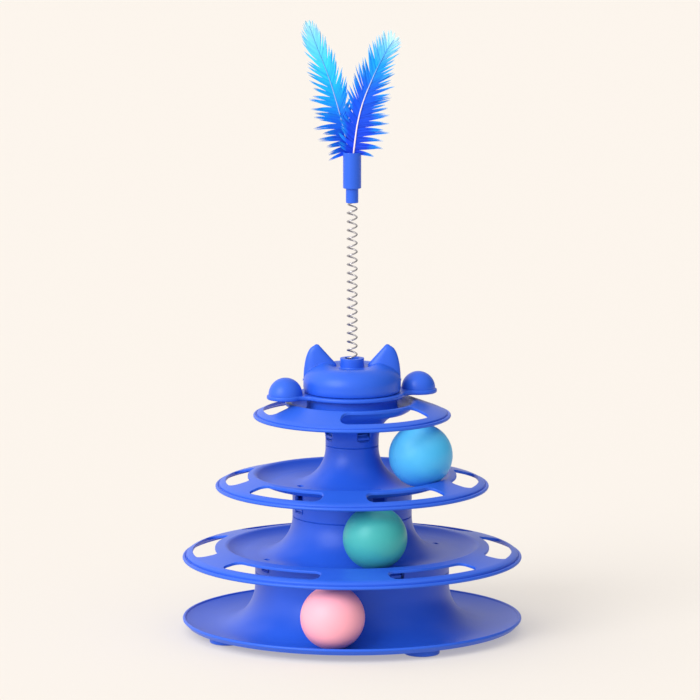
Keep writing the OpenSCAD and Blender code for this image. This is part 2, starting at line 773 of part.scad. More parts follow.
// Outline of the right ear, inset by d
function ear_outline(d) =
    let (tip = [ear_tip_x, crown_z + ear_tip_h - ear_tip_r])
    let (foot_z = crown_z - head_shoulder_r + head_wall)
    let (inner = [ear_inner_x, crown_z + head_wall / 2])
    let (lean = atan2(tip[1] - inner[1], tip[0] - inner[0]))
    let (out_r = head_r - d)
    concat(
        [[ear_inner_x + d, foot_z], [ear_inner_x + d, inner[1]]],
        arc(tip[0], tip[1], ear_tip_r - d / 2, quarter + lean, quarter / 4, soft_steps),
        [for (i = [1:soft_steps])
            let (u = i / soft_steps)
            let (p = tip + (ear_tip_r - d / 2) * [cos(quarter / 4), sin(quarter / 4)])
            let (s = sin(quarter * u))
            [p[0] + (out_r - p[0]) * s, p[1] + (foot_z - p[1]) * (1 - cos(quarter * u))]]
    );

// An ear: its full outline at the edge, swelling to an inset face in front and behind
module ear() {
    inset = (ear_t - ear_edge_t) / 2;
    hull() {
        rotate([quarter, 0, 0])
            linear_extrude(ear_edge_t, center = true)
                polygon(ear_outline(0));
        rotate([quarter, 0, 0])
            linear_extrude(ear_t, center = true)
                polygon(ear_outline(inset));
    }
}

module cat_head() {
    color(blue)
        difference() {
            union() {
                difference() {
                    union() {
                        rotate_extrude($fn = round_fn)
                            polygon(concat([[0, head_z]], head_line(0), [[0, dimple_z]]));
                        intersection() {
                            union() {
                                ear();
                                mirror([1, 0, 0])
                                    ear();
                            }
                            cylinder(r = head_r, h = crown_z + 2 * ear_tip_h, $fn = round_fn);
                        }
                    }
                    translate([0, 0, -over])
                        rotate_extrude($fn = round_fn)
                            polygon(concat([[0, head_z]], head_line(head_wall), [[0, dimple_z - head_wall]]));
                    translate([0, 0, head_z - over])
                        cylinder(r = head_r - head_tuck - head_wall, h = over + head_tuck_h,
                            $fn = round_fn);
                }
                head_stem();
                round_tower(head_rib_count, tower_turn)
                    translate([stem_r - head_wall, -head_rib_t / 2, head_z])
                        cube([head_r - stem_r - head_tuck, head_rib_t, head_h / 2]);
            }
            translate([0, 0, socket_top])
                cylinder(r = head_recess_r, h = head_recess_h + over, $fn = small_fn);
            translate([0, 0, socket_top - socket_depth])
                cylinder(r = socket_r, h = socket_depth + over, $fn = small_fn);
        }
}

// The stem: a collar above, a solid core round the spring's socket and four latching fingers below
module head_stem() {
    finger_z = drum_top - wall - spigot_gap;
    finger_r = stem_r - wall;
    foot_z = finger_z - 2 * wall;
    difference() {
        rotate_extrude($fn = round_fn)
            polygon([
                [finger_r, foot_z], [stem_r - seam_chamfer, foot_z], [stem_r + stem_lip, finger_z - wall],
                [stem_r + stem_lip, finger_z], [stem_r, finger_z], [stem_r, head_z],
                [stem_r + wall, head_z], [stem_r + wall, head_z + wall],
                [stem_r - seam_chamfer, dimple_z - wall], [head_collar_r, dimple_z - wall],
                [head_collar_r, collar_top - seam_chamfer],
                [head_collar_r - seam_chamfer, collar_top], [0, collar_top],
                [0, socket_top - socket_depth - wall], [finger_r, head_z]
            ]);
        for (a = [0, quarter])
            rotate([0, 0, a])
                translate([-stem_r - wall, -stem_slit_w / 2, foot_z - over])
                    cube([2 * (stem_r + wall), stem_slit_w, drum_top - foot_z + over]);
    }
}

// The spring's wire as points: [radius, turn, height] from one end to the other
pitch_angle = atan((spring_l - 2 * wire_d) / (curl_count * full_turn / half_turn * PI * coil_r));
end_bend_r = 1.4 * wire_d;
rings_per_curl = 8;
wire_sides = 6;
bend_steps = 4;
bend_turn = quarter - pitch_angle;
bend_rise = wire_d + end_bend_r * sin(bend_turn);
bend_advance = end_bend_r * (1 - cos(bend_turn)) / coil_end_r * half_turn / PI;
helix_turn = curl_count * full_turn;
helix_rings = ceil(curl_count * rings_per_curl);
taper_l = 1.1 * coil_r;

function coil_radius(z) =
    let (low = smooth((z - (socket_depth - end_gap - wire_d)) / taper_l))
    let (high = smooth((spring_l - sleeve_grip - wire_d - z) / taper_l))
    coil_end_r + (coil_r - coil_end_r) * min(low, high);

function wire_end() = concat(
    [[coil_end_r, 0, 0]],
    [for (i = [0:bend_steps])
        let (a = bend_turn * i / bend_steps)
        [coil_end_r, end_bend_r * (1 - cos(a)) / coil_end_r * half_turn / PI,
            wire_d + end_bend_r * sin(a)]]
);
function wire_middle() = [for (i = [1:helix_rings - 1])
    let (u = i / helix_rings)
    let (z = bend_rise + (spring_l - 2 * bend_rise) * u)
    [coil_radius(z), bend_advance + helix_turn * u, z]];
function wire_points() =
    let (foot = wire_end())
    let (turn = helix_turn + 2 * bend_advance)
    [for (p = concat(foot, wire_middle(),
        [for (q = turned_about(foot)) [q[0], turn - q[1], spring_l - q[2]]]))
        [p[0] * cos(p[1]), p[0] * sin(p[1]), spring_z + p[2]]];

function unit(v) = v / norm(v);

// Rings of a tube along points: side 0 of each ring faces away from a line up the axis
function tube_rings(path, radii, sides, axis_of) = [for (i = [0:len(path) - 1])
    let (t = unit(path[min(i + 1, len(path) - 1)] - path[max(i - 1, 0)]))
    let (out = path[i] - axis_of[i])
    let (n = unit(out - (out * t) * t))
    let (b = cross(t, n))
    for (k = [0:sides - 1])
        let (a = full_turn * k / sides)
        path[i] + radii[i] * (cos(a) * n + sin(a) * b)];

function tube_faces(count, sides) = concat(
    [for (k = [1:sides - 2]) [0, k, k + 1]],
    [for (k = [1:sides - 2]) let (m = (count - 1) * sides) [m, m + k + 1, m + k]],
    [for (i = [0:count - 2]) for (k = [0:sides - 1]) for (half = [0, 1])
        let (p = i * sides + k, q = i * sides + (k + 1) % sides)
        half == 0 ? [p, q + sides, q] : [p, p + sides, q + sides]]
);

module wand_spring() {
    path = wire_points();
    gap = min([for (i = [0:len(path) - rings_per_curl])
        for (j = [i + rings_per_curl / 2:min(i + 2 * rings_per_curl, len(path) - 1)])
            norm(path[i] - path[j])]) - wire_d;
    echo(spring_least_gap = gap, spring_rings = len(path));
    color(steel)
        polyhedron(
            tube_rings(path, [for (p = path) wire_d / 2], wire_sides, [for (p = path) [0, 0, p[2]]]),
            tube_faces(len(path), wire_sides)
        );
}

// A round tube with a chamfer at both ends and a bore from below
module chamfered_rod(r, z0, z1) {
    rotate_extrude($fn = small_fn * 2)
        polygon([
            [0, z0], [r - tube_chamfer, z0], [r, z0 + tube_chamfer], [r, z1 - tube_chamfer],
            [r - tube_chamfer, z1], [0, z1]
        ]);
}

module spring_sleeve() {
    color(blue)
        difference() {
            chamfered_rod(sleeve_r, sleeve_z, ferrule_z + sleeve_seat);
            translate([0, 0, sleeve_z - over])
                cylinder(r = socket_r, h = sleeve_grip + end_gap + over, $fn = small_fn);
        }
}

module feather_ferrule() {
    hole_z = ferrule_top - ferrule_recess_h;
    color(blue)
        difference() {
            chamfered_rod(ferrule_r, ferrule_z, ferrule_top);
            translate([0, 0, ferrule_z - over])
                cylinder(r = ferrule_bore_r, h = sleeve_seat + over, $fn = small_fn);
            translate([0, 0, hole_z])
                cylinder(r = ferrule_r - ferrule_rim_t, h = ferrule_recess_h + over, $fn = small_fn);
            for (s = [-1, 1])
                translate([s * quill_place_x, -s * quill_place_y, hole_z - quill_depth])
                    cylinder(r = quill_r + quill_gap, h = quill_depth + over, $fn = small_fn);
        }
}

// Points along a feather's quill above the ferrule, in the plane of the feather
function curve(p0, p1, p2, u) = (1 - u) * (1 - u) * p0 + 2 * u * (1 - u) * p1 + u * u * p2;
function curve_slope(p0, p1, p2, u) = unit((1 - u) * (p1 - p0) + u * (p2 - p1));

// Half width of a vane along the quill, as shares of its largest
vane_along_shares = [0, 0.06, 0.14, 0.24, 0.38, 0.55, 0.72, 0.88, 0.97, 1];
vane_width_shares = [0.5, 0.74, 0.93, 1, 0.86, 0.68, 0.54, 0.42, 0.22, 0];
function vane_share(u) = lookup(u, [for (i = [0:len(vane_along_shares) - 1])
    [vane_along_shares[i], vane_width_shares[i]]]);

// A barb's lean towards the tip, from the quill's foot to its tip
barb_foot_lean = -8;
barb_tip_lean = 52;
notch_share = 0.72;
bow_share = 0.43;

function vane_side(p0, p1, p2, w, side) = [for (i = [0:2 * barb_count])
    let (u = i / (2 * barb_count))
    let (t = curve_slope(p0, p1, p2, u))
    let (n = side * [t[1], -t[0]])
    let (lean = barb_foot_lean + (barb_tip_lean - barb_foot_lean) * smooth(2 * u))
    let (reach = w * vane_share(u) * (i % 2 == 0 ? notch_share : 1))
    curve(p0, p1, p2, u) + reach * (cos(lean) * n + sin(lean) * t) + quill_tip_r * n];

module feather(h, lean, w, side, y) {
    foot = [side * quill_place_x, ferrule_top];
    tip = [side * lean, ferrule_top + h - quill_tip_r];
    mid = [side * lean * bow_share, ferrule_top + h / 2];
    count = barb_count;
    quill = concat(
        [[foot[0], y, ferrule_top - ferrule_recess_h - quill_depth + end_gap],
            [foot[0], y, ferrule_top - ferrule_recess_h]],
        [for (i = [0:count]) let (p = curve(foot, mid, tip, i / count)) [p[0], y, p[1]]]
    );
    radii = [for (i = [0:len(quill) - 1]) quill_r + (quill_tip_r - quill_r) * i / (len(quill) - 1)];
    polyhedron(
        tube_rings(quill, radii, wire_sides, [for (p = quill) [p[0], p[1] + h, p[2]]]),
        tube_faces(len(quill), wire_sides)
    );
    translate([0, y + vane_t / 2, 0])
        rotate([quarter, 0, 0])
            linear_extrude(vane_t)
                polygon(concat(
                    vane_side(foot + [0, wire_d], mid, tip, w, 1),
                    turned_about(vane_side(foot + [0, wire_d], mid, tip, w, -1))
                ));
}

module left_feather() {
    color(pale_blue)
        feather(left_feather_h, left_feather_lean, left_vane_w, -1, quill_place_y);
}

module right_feather() {
    color(deep_blue)
        feather(right_feather_h, right_feather_lean, right_vane_w, 1, -quill_place_y);
}

// A hollow ball at its place on a track
module track_ball(path_r, floor_z, turn) {
    rotate([0, 0, turn - quarter])
        translate([path_r, 0, floor_z + ball_gap + ball_r])
            difference() {
                sphere(r = ball_r, $fn = round_fn);
                sphere(r = ball_r - ball_wall, $fn = round_fn);
            }
}

module pink_ball() {
    color([0.98, 0.76, 0.81])
        track_ball(base_path_r, base_floor_z, pink_ball_turn);
}

module green_ball() {
    color([0.29, 0.67, 0.69])
        track_ball(mid_path_r, mid_floor_z, green_ball_turn);
}

module blue_ball() {
    color([0.42, 0.77, 0.94])
        track_ball(upper_path_r, upper_floor_z, blue_ball_turn);
}

base_tray();
foot_pads();
middle_tray();
upper_tray();
top_disc();
paw_plate();
cat_head();
wand_spring();
spring_sleeve();
feather_ferrule();
left_feather();
right_feather();
pink_ball();
green_ball();
blue_ball();
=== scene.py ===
import math
import random

import bpy
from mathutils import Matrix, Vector


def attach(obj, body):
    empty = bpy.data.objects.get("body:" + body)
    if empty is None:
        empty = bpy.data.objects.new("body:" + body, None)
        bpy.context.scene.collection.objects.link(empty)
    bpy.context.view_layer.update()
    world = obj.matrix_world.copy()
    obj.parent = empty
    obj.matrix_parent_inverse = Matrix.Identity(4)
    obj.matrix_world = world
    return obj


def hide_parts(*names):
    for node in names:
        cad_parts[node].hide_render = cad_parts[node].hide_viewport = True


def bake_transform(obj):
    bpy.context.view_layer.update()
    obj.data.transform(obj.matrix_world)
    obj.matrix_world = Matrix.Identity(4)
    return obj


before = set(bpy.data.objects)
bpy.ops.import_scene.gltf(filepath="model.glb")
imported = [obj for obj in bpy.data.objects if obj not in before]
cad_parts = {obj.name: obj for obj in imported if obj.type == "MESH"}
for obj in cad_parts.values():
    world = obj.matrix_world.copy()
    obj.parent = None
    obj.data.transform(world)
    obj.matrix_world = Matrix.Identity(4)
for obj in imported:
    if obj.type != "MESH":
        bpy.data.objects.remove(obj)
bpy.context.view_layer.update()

mm = 0.001
print("frame loaded")


# Modelling helpers. Outlines and sizes are in millimetres, turns in degrees from the front towards the right.

def leaveEdit():
    if bpy.context.object and bpy.context.object.mode != "OBJECT":
        bpy.ops.object.mode_set(mode="OBJECT")


def pickOnly(*pieces):
    leaveEdit()
    bpy.ops.object.select_all(action="DESELECT")
    for piece in pieces:
        piece.select_set(True)
    bpy.context.view_layer.objects.active = pieces[0]


def arc(cx, cz, rx, rz, a0, a1, steps):
    angles = [math.radians(a0 + (a1 - a0) * i / steps) for i in range(steps + 1)]
    return [(cx + rx * math.cos(a), cz + rz * math.sin(a)) for a in angles]


def around(r, turn, z=0):
    a = math.radians(turn - 90)
    return Vector((r * math.cos(a), r * math.sin(a), z)) * mm


def traceOutline(name, points, closed=True):
    # a plane shrunk to one corner, which is then extruded from point to point
    points = [Vector(p) * mm for p in points]
    leaveEdit()
    bpy.ops.object.select_all(action="DESELECT")
    bpy.ops.mesh.primitive_plane_add(size=mm, location=points[0])
    piece = bpy.context.object
    piece.name = name
    bpy.ops.object.transform_apply(location=True)
    bpy.ops.object.mode_set(mode="EDIT")
    bpy.ops.mesh.select_all(action="SELECT")
    bpy.ops.mesh.merge(type="CENTER")
    here = points[0]
    for there in points[1:] + (points[:1] if closed else []):
        bpy.ops.mesh.extrude_region_move(TRANSFORM_OT_translate={"value": there - here})
        here = there
    bpy.ops.mesh.select_all(action="SELECT")
    bpy.ops.mesh.remove_doubles(threshold=0.004 * mm)
    return piece


def turnOutline(name, outline, closed=True, steps=192):
    piece = traceOutline(name, [(r, 0, z) for r, z in outline], closed)
    bpy.ops.mesh.spin(steps=steps, angle=2 * math.pi, center=(0, 0, 0), axis=(0, 0, 1))
    bpy.ops.mesh.select_all(action="SELECT")
    bpy.ops.mesh.remove_doubles(threshold=0.004 * mm)
    bpy.ops.mesh.normals_make_consistent(inside=False)
    leaveEdit()
    return piece


def extrudeOutline(name, points, depth):
    piece = traceOutline(name, points)
    bpy.ops.mesh.edge_face_add()
    bpy.ops.mesh.extrude_region_move(TRANSFORM_OT_translate={"value": Vector(depth) * mm})
    bpy.ops.mesh.select_all(action="SELECT")
    bpy.ops.mesh.normals_make_consistent(inside=False)
    leaveEdit()
    return piece


def blockAt(name, size, r, turn, z):
    leaveEdit()
    bpy.ops.object.select_all(action="DESELECT")
    bpy.ops.mesh.primitive_cube_add(
        size=1, location=around(r, turn, z), rotation=(0, 0, math.radians(turn - 90)),
        scale=[side * mm for side in size])
    bpy.ops.object.transform_apply(location=True, rotation=True, scale=True)
    bpy.context.object.name = name
    return bpy.context.object


def joinPieces(pieces):
    pickOnly(*pieces)
    if len(pieces) > 1:
        bpy.ops.object.join()
    return bpy.context.object


def combine(piece, other, operation="DIFFERENCE"):
    pickOnly(piece)
    step = piece.modifiers.new("combine", "BOOLEAN")
    step.operation = operation
    step.solver = "EXACT"
    step.object = other
    bpy.ops.object.modifier_apply(modifier="combine")
    bpy.data.objects.remove(other)
    return piece


def softenEdges(piece, width, segments=3, angle=33, smooth=38):
    pickOnly(piece)
    soften = piece.modifiers.new("soften", "BEVEL")
    soften.width = width * mm
    soften.segments = segments
    soften.limit_method = "ANGLE"
    soften.angle_limit = math.radians(angle)
    soften.use_clamp_overlap = False
    soften.miter_outer = "MITER_ARC"
    bpy.ops.object.modifier_apply(modifier="soften")
    bpy.ops.object.shade_smooth_by_angle(angle=math.radians(smooth))
    level = piece.modifiers.new("level", "WEIGHTED_NORMAL")
    level.keep_sharp = True
    level.weight = 60
    bpy.ops.object.modifier_apply(modifier="level")
    return piece


# Shared finishes

def newGroup(name, inputs, outputs):
    group = bpy.data.node_groups.new(name, "ShaderNodeTree")
    for label, kind, value in inputs:
        socket = group.interface.new_socket(name=label, in_out="INPUT", socket_type=kind)
        socket.default_value = value
    for label, kind in outputs:
        group.interface.new_socket(name=label, in_out="OUTPUT", socket_type=kind)
    entry = group.nodes.new("NodeGroupInput")
    leave = group.nodes.new("NodeGroupOutput")
    return group, entry, leave


def mouldedGrain():
    # the fine matt grain of a mould, with slow changes of gloss and tone over the wall
    group, entry, leave = newGroup(
        "mouldedGrain",
        [("Grain Scale", "NodeSocketFloat", 1800), ("Grain Depth", "NodeSocketFloat", 0.1),
         ("Gloss", "NodeSocketFloat", 0.42), ("Gloss Change", "NodeSocketFloat", 0.08)],
        [("Roughness", "NodeSocketFloat"), ("Tone", "NodeSocketFloat"), ("Normal", "NodeSocketVector")])
    nodes, links = group.nodes, group.links
    place = nodes.new("ShaderNodeTexCoord")
    grain = nodes.new("ShaderNodeTexNoise")
    grain.inputs["Detail"].default_value = 3
    slow = nodes.new("ShaderNodeTexNoise")
    slow.inputs["Scale"].default_value = 22
    slow.inputs["Detail"].default_value = 4
    links.new(place.outputs["Object"], grain.inputs["Vector"])
    links.new(place.outputs["Object"], slow.inputs["Vector"])
    links.new(entry.outputs["Grain Scale"], grain.inputs["Scale"])
    centred = nodes.new("ShaderNodeMath")
    centred.operation = "SUBTRACT"
    centred.inputs[1].default_value = 0.5
    links.new(slow.outputs["Fac"], centred.inputs[0])
    change = nodes.new("ShaderNodeMath")
    change.operation = "MULTIPLY_ADD"
    links.new(centred.outputs[0], change.inputs[0])
    links.new(entry.outputs["Gloss Change"], change.inputs[1])
    links.new(entry.outputs["Gloss"], change.inputs[2])
    bump = nodes.new("ShaderNodeBump")
    bump.inputs["Distance"].default_value = 0.00006
    links.new(entry.outputs["Grain Depth"], bump.inputs["Strength"])
    links.new(grain.outputs["Fac"], bump.inputs["Height"])
    links.new(change.outputs[0], leave.inputs["Roughness"])
    links.new(slow.outputs["Fac"], leave.inputs["Tone"])
    links.new(bump.outputs["Normal"], leave.inputs["Normal"])
    return group


grainGroup = mouldedGrain()


def newMaterial(name):
    material = bpy.data.materials.new(name)
    material.use_nodes = True
    nodes = material.node_tree.nodes
    return material, nodes, material.node_tree.links, nodes["Principled BSDF"]


def mouldedPlastic(name, look):
    material, nodes, links, shader = newMaterial(name)
    grain = nodes.new("ShaderNodeGroup")
    grain.node_tree = grainGroup
    grain.inputs["Grain Scale"].default_value = look["grainScale"]
    grain.inputs["Grain Depth"].default_value = look["grainDepth"]
    grain.inputs["Gloss"].default_value = look["gloss"]
    grain.inputs["Gloss Change"].default_value = look["glossChange"]
    tone = nodes.new("ShaderNodeMix")
    tone.data_type = "RGBA"
    tone.inputs["A"].default_value = (*look["dark"], 1)
    tone.inputs["B"].default_value = (*look["light"], 1)
    links.new(grain.outputs["Tone"], tone.inputs["Factor"])
    links.new(tone.outputs["Result"], shader.inputs["Base Color"])
    links.new(grain.outputs["Roughness"], shader.inputs["Roughness"])
    links.new(grain.outputs["Normal"], shader.inputs["Normal"])
    shader.inputs["IOR"].default_value = 1.49
    shader.inputs["Specular IOR Level"].default_value = look["shine"]
    shader.inputs["Specular Tint"].default_value = (*look["shineTint"], 1)
    return material


bluePlastic = mouldedPlastic("bluePlastic", {
    "dark": (0.014, 0.090, 0.60), "light": (0.026, 0.118, 0.70),
    "gloss": 0.38, "glossChange": 0.1, "grainScale": 1800, "grainDepth": 0.12,
    "shine": 0.42, "shineTint": (0.7, 0.8, 1.0)})
pinkPlastic = mouldedPlastic("pinkPlastic", {
    "dark": (0.88, 0.35, 0.44), "light": (0.94, 0.42, 0.51),
    "gloss": 0.45, "glossChange": 0.06, "grainScale": 1500, "grainDepth": 0.08,
    "shine": 0.4, "shineTint": (1.0, 0.8, 0.85)})
greenPlastic = mouldedPlastic("greenPlastic", {
    "dark": (0.03, 0.31, 0.32), "light": (0.055, 0.40, 0.40),
    "gloss": 0.42, "glossChange": 0.06, "grainScale": 1500, "grainDepth": 0.08,
    "shine": 0.5, "shineTint": (0.6, 1.0, 1.0)})
skyPlastic = mouldedPlastic("skyPlastic", {
    "dark": (0.02, 0.36, 0.74), "light": (0.13, 0.56, 0.88),
    "gloss": 0.42, "glossChange": 0.06, "grainScale": 1500, "grainDepth": 0.08,
    "shine": 0.5, "shineTint": (0.6, 0.9, 1.0)})
padRubber = mouldedPlastic("padRubber", {
    "dark": (0.012, 0.02, 0.05), "light": (0.02, 0.03, 0.07),
    "gloss": 0.8, "glossChange": 0.1, "grainScale": 900, "grainDepth": 0.5,
    "shine": 0.3, "shineTint": (1.0, 1.0, 1.0)})


def springSteel():
    material, nodes, links, shader = newMaterial("springSteel")
    place = nodes.new("ShaderNodeTexCoord")
    drawn = nodes.new("ShaderNodeTexNoise")  # fine drawing marks along the wire
    drawn.inputs["Scale"].default_value = 2600
    drawn.inputs["Detail"].default_value = 2
    links.new(place.outputs["Object"], drawn.inputs["Vector"])
    gloss = nodes.new("ShaderNodeMapRange")
    gloss.inputs["To Min"].default_value = 0.16
    gloss.inputs["To Max"].default_value = 0.34
    links.new(drawn.outputs["Fac"], gloss.inputs["Value"])
    links.new(gloss.outputs["Result"], shader.inputs["Roughness"])
    shader.inputs["Base Color"].default_value = (0.42, 0.41, 0.43, 1)
    shader.inputs["Metallic"].default_value = 1
    return material


steelWire = springSteel()
print("finishes ready")


def settle(piece, name, material, body, slot, *nodes):
    piece.name = name
    piece.data.materials.clear()
    piece.data.materials.append(material)
    if body:
        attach(piece, body)
    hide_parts(*nodes)
    print(name, len(piece.data.polygons), "faces")
    return piece


# Trays: a flared hub, a round track, a crest and a convex band with slots and a rolled edge.
# A collar with windows holds each tray on the hub below.

wall = 2
crestRound = 4
beadRound = 1.2
edgeWide = 5.9
slotStrip = 0.15
slotCorner = 6
seamBevel = 0.35
spigot = {"high": 10.1, "gap": 0.15, "edge": 0.7}
latch = {"turns": (27, 117, 207, 297), "wide": 9.6, "sill": 5.4, "frame": 0.8, "frameDeep": 0.4, "high": 3.8,
         "gap": 0.3}
# the fine step beside a bead, out and down from its upper corner, and the groove, from the bead's middle
rimStep = {"in": 1.85, "corners": ((0.2, 0.22), (0.29, 0.42), (0.31, 0.66))}
rimGroove = {"in": 1.187, "up": 0.996, "r": 0.35, "from": 180, "to": 320, "beadFrom": 140}


def bandLine(part, crestZ, climb, down):
    # over a crest, out along the band and down its rolled edge, this far below the upper surface
    endR, endZ = part["rim"] - beadRound, part["floor"] - part["rimDrop"] + beadRound + wall / 2
    rollR, rollZ = endR - edgeWide, endZ + part["edgeHigh"]
    run, fall = rollR - part["crest"], crestZ - rollZ
    slope = math.atan2(fall, run) + math.asin(crestRound / math.hypot(run, fall))
    chord = math.atan2(part["edgeHigh"], edgeWide)
    roll = math.hypot(edgeWide, part["edgeHigh"]) / (2 * math.sin(chord - slope))
    centreR, centreZ = rollR - roll * math.sin(slope), rollZ - roll * math.cos(slope)
    slope, chord = math.degrees(slope), math.degrees(chord)
    line = arc(part["crest"], crestZ, crestRound - down, crestRound - down, 90 + climb, 90 - slope, 10)
    line += arc(centreR, centreZ, roll - down, roll - down, 90 - slope, 90 - 2 * chord + slope, 12)
    return line, 2 * chord - slope


def rimLine(part, top, slope):
    # the band stops at a fine step and a groove, and a round bead stands outside them
    fall, half = math.radians(slope), wall / 2
    beadR, beadZ = part["rim"] - beadRound, part["floor"] - part["rimDrop"] + beadRound
    lower = math.sqrt(beadRound ** 2 - (half * math.sin(fall)) ** 2) + half * math.cos(fall)
    end = math.degrees(math.atan2(half - lower * math.cos(fall), -lower * math.sin(fall))) % 360 - 360
    step = beadR - rimStep["in"]
    line = [p for p in top if p[0] < step]
    (r0, z0), (r1, z1) = line[-1], top[len(line)]
    z = z0 + (z1 - z0) * (step - r0) / (r1 - r0)
    line += [(step, z)] + [(step + out, z - down) for out, down in rimStep["corners"]]
    groove, r = rimGroove, rimGroove["r"]
    line += arc(beadR - groove["in"], beadZ + groove["up"], r, r, groove["from"], groove["to"], 6)
    return line + arc(beadR, beadZ, beadRound, beadRound, groove["beadFrom"], end, 22)[1:]


def trayLine(tray, down):
    # the upper surface of a tray, or a surface this far below it, from the hub out to the rim's bead
    floor, crest = tray["floor"], tray["crest"]
    flareEnd = tray["hub"] + tray["flareWide"]
    rise = flareEnd + tray["flat"]
    climb = 2 * math.atan2(tray["crestHigh"], crest - rise)
    bend = (crest - rise) / math.sin(climb) - crestRound
    climb = math.degrees(climb)
    flareWide, flareHigh = tray["flareWide"], tray["flareHigh"]
    line = arc(flareEnd, floor + flareHigh, flareWide + down, flareHigh + down, 180, 270, 30)
    line += arc(rise, floor + bend, bend + down, bend + down, -90, climb - 90, 14)
    band, slope = bandLine(tray, floor + tray["crestHigh"] - crestRound, climb, down)
    return line + band, slope


def spigotLine(hub, top):
    # from the hub's bevelled upper edge over the spigot to the inside of the hub
    out, end, edge = hub - wall - spigot["gap"], top + spigot["high"], spigot["edge"]
    return [(hub, top - seamBevel), (hub - seamBevel, top), (out, top), (out, end - edge), (out - edge, end),
            (out - wall, end), (out - wall, top - wall), (hub - wall, top - 2 * wall)]


def collarLine(r, seam, outerTop, innerTop):
    # a collar's outer and inner faces, from the underside down to its seam and up again
    inner = r - wall
    return [(r, outerTop), (r, seam + seamBevel), (r - seamBevel, seam), (inner, seam), (inner, innerTop)]


def trayOutline(tray):
    top, slope = trayLine(tray, 0)
    under = trayLine(tray, wall)[0]
    r = tray["collar"]
    clear = 0.5  # points of the underside this near a collar's faces are left out
    below = [p for p in under if p[0] > r + clear]
    inside = [p for p in under if p[0] < r - wall - clear]
    flareEnd = tray["hub"] + tray["flareWide"]

    def underAt(x):
        if x >= flareEnd:
            return tray["floor"] - wall
        share = (flareEnd - x) / (tray["flareWide"] + wall)
        return tray["floor"] + tray["flareHigh"] - (tray["flareHigh"] + wall) * math.sqrt(1 - share ** 2)

    start = spigotLine(tray["hub"], tray["hubTop"])
    return (list(reversed(start)) + rimLine(tray, top, slope) + list(reversed(below))
            + collarLine(r, tray["seam"], underAt(r), underAt(r - wall)) + list(reversed(inside)))


def slotCutter(part, turn, span):
    inR = part["crest"] + part["slotInset"]
    outR = part["rim"] - beadRound - edgeWide - slotStrip
    corner = slotCorner
    half = span / 2
    inA = half - math.degrees(math.asin(corner / (inR + corner)))
    outA = half - math.degrees(math.asin(corner / (outR - corner)))

    def bend(r, a, a0, a1):
        x, y = r * math.cos(math.radians(a)), r * math.sin(math.radians(a))
        return arc(x, y, corner, corner, a0, a1, 7)

    outline = arc(0, 0, outR, outR, -outA, outA, 24)[:-1]
    outline += bend(outR - corner, outA, outA, half + 90)
    outline += bend(inR + corner, inA, half + 90, inA + 180)[:-1]
    outline += arc(0, 0, inR, inR, inA, -inA, 24)[:-1]
    outline += bend(inR + corner, -inA, 180 - inA, 270 - half)
    outline += bend(outR - corner, -outA, -half - 90, -outA)[:-1]
    a = math.radians(turn - 90)
    low, high = part["floor"] - part["rimDrop"], part["floor"] + part["crestHigh"] + 1
    spot = [(x * math.cos(a) - y * math.sin(a), x * math.sin(a) + y * math.cos(a), low) for x, y in outline]
    return extrudeOutline("slot", spot, (0, 0, high - low))


def cutWindows(piece, part):
    r, seam, floor = part["collar"], part["seam"], part["floor"]
    low, high = seam + latch["sill"], floor - wall - seamBevel
    mouldWide = latch["wide"] - 2 * wall
    frameWide = latch["wide"] + 2 * latch["frame"]
    frameHigh, mouldHigh = high - low + latch["frame"], floor + wall - low
    cuts = (
        ((wall, frameWide, frameHigh), r - latch["frameDeep"] + wall / 2, high - frameHigh / 2),
        ((3 * wall, latch["wide"], high - low), r - wall / 2, (low + high) / 2),
        ((wall + 1, mouldWide, mouldHigh), r - wall / 2 - 0.5, low + mouldHigh / 2))
    for size, out, z in cuts:
        combine(piece, joinPieces([blockAt("window", size, out, turn, z) for turn in latch["turns"]]))


def latchTabs(hub, top):
    out = hub - wall - spigot["gap"] - wall / 2
    low = top + latch["sill"] + latch["gap"]
    wide = latch["wide"] - 2 * latch["gap"]
    face = hub - latch["frameDeep"]
    tabs = []
    for turn in latch["turns"]:
        side = [(out, -wide / 2, low), (face, -wide / 2, low), (face, -wide / 2, low + latch["high"] / 2),
                (out, -wide / 2, low + latch["high"])]
        tab = extrudeOutline("tab", side, (0, wide, 0))
        tab.rotation_euler.z = math.radians(turn - 90)
        pickOnly(tab)
        bpy.ops.object.transform_apply(rotation=True)
        tabs.append(tab)
    return tabs


middleTray = {"hub": 42.2, "hubTop": 82.5, "floor": 56.1, "flareWide": 26, "flareHigh": 26, "flat": 7.8,
              "crest": 90, "crestHigh": 4.9, "rim": 120, "rimDrop": 4.6, "edgeHigh": 3.6,
              "collar": 68.7, "seam": 43, "slotInset": 7,
              "slots": ((-33.5, 42.5), (33, 37.5), (92, 43), (148, 41), (206, 41), (264.5, 43))}
upperTray = {"hub": 18.8, "hubTop": 132.8, "floor": 106.2, "flareWide": 26, "flareHigh": 25.2, "flat": 11,
             "crest": 70, "crestHigh": 6.2, "rim": 96.6, "rimDrop": 3.8, "edgeHigh": 3,
             "collar": 42.2, "seam": 82.5, "slotInset": 3.8,
             "slots": ((-35.3, 41), (27.7, 41), (87, 41), (146.5, 41), (206.5, 41), (266.5, 41))}


def makeTray(name, node, tray):
    piece = turnOutline(name, trayOutline(tray))
    combine(piece, joinPieces([slotCutter(tray, turn, span) for turn, span in tray["slots"]]))
    cutWindows(piece, tray)
    piece = joinPieces([piece] + latchTabs(tray["hub"], tray["hubTop"]))
    softenEdges(piece, 0.45)
    return settle(piece, name, bluePlastic, "tower", "blue_plastic", node)


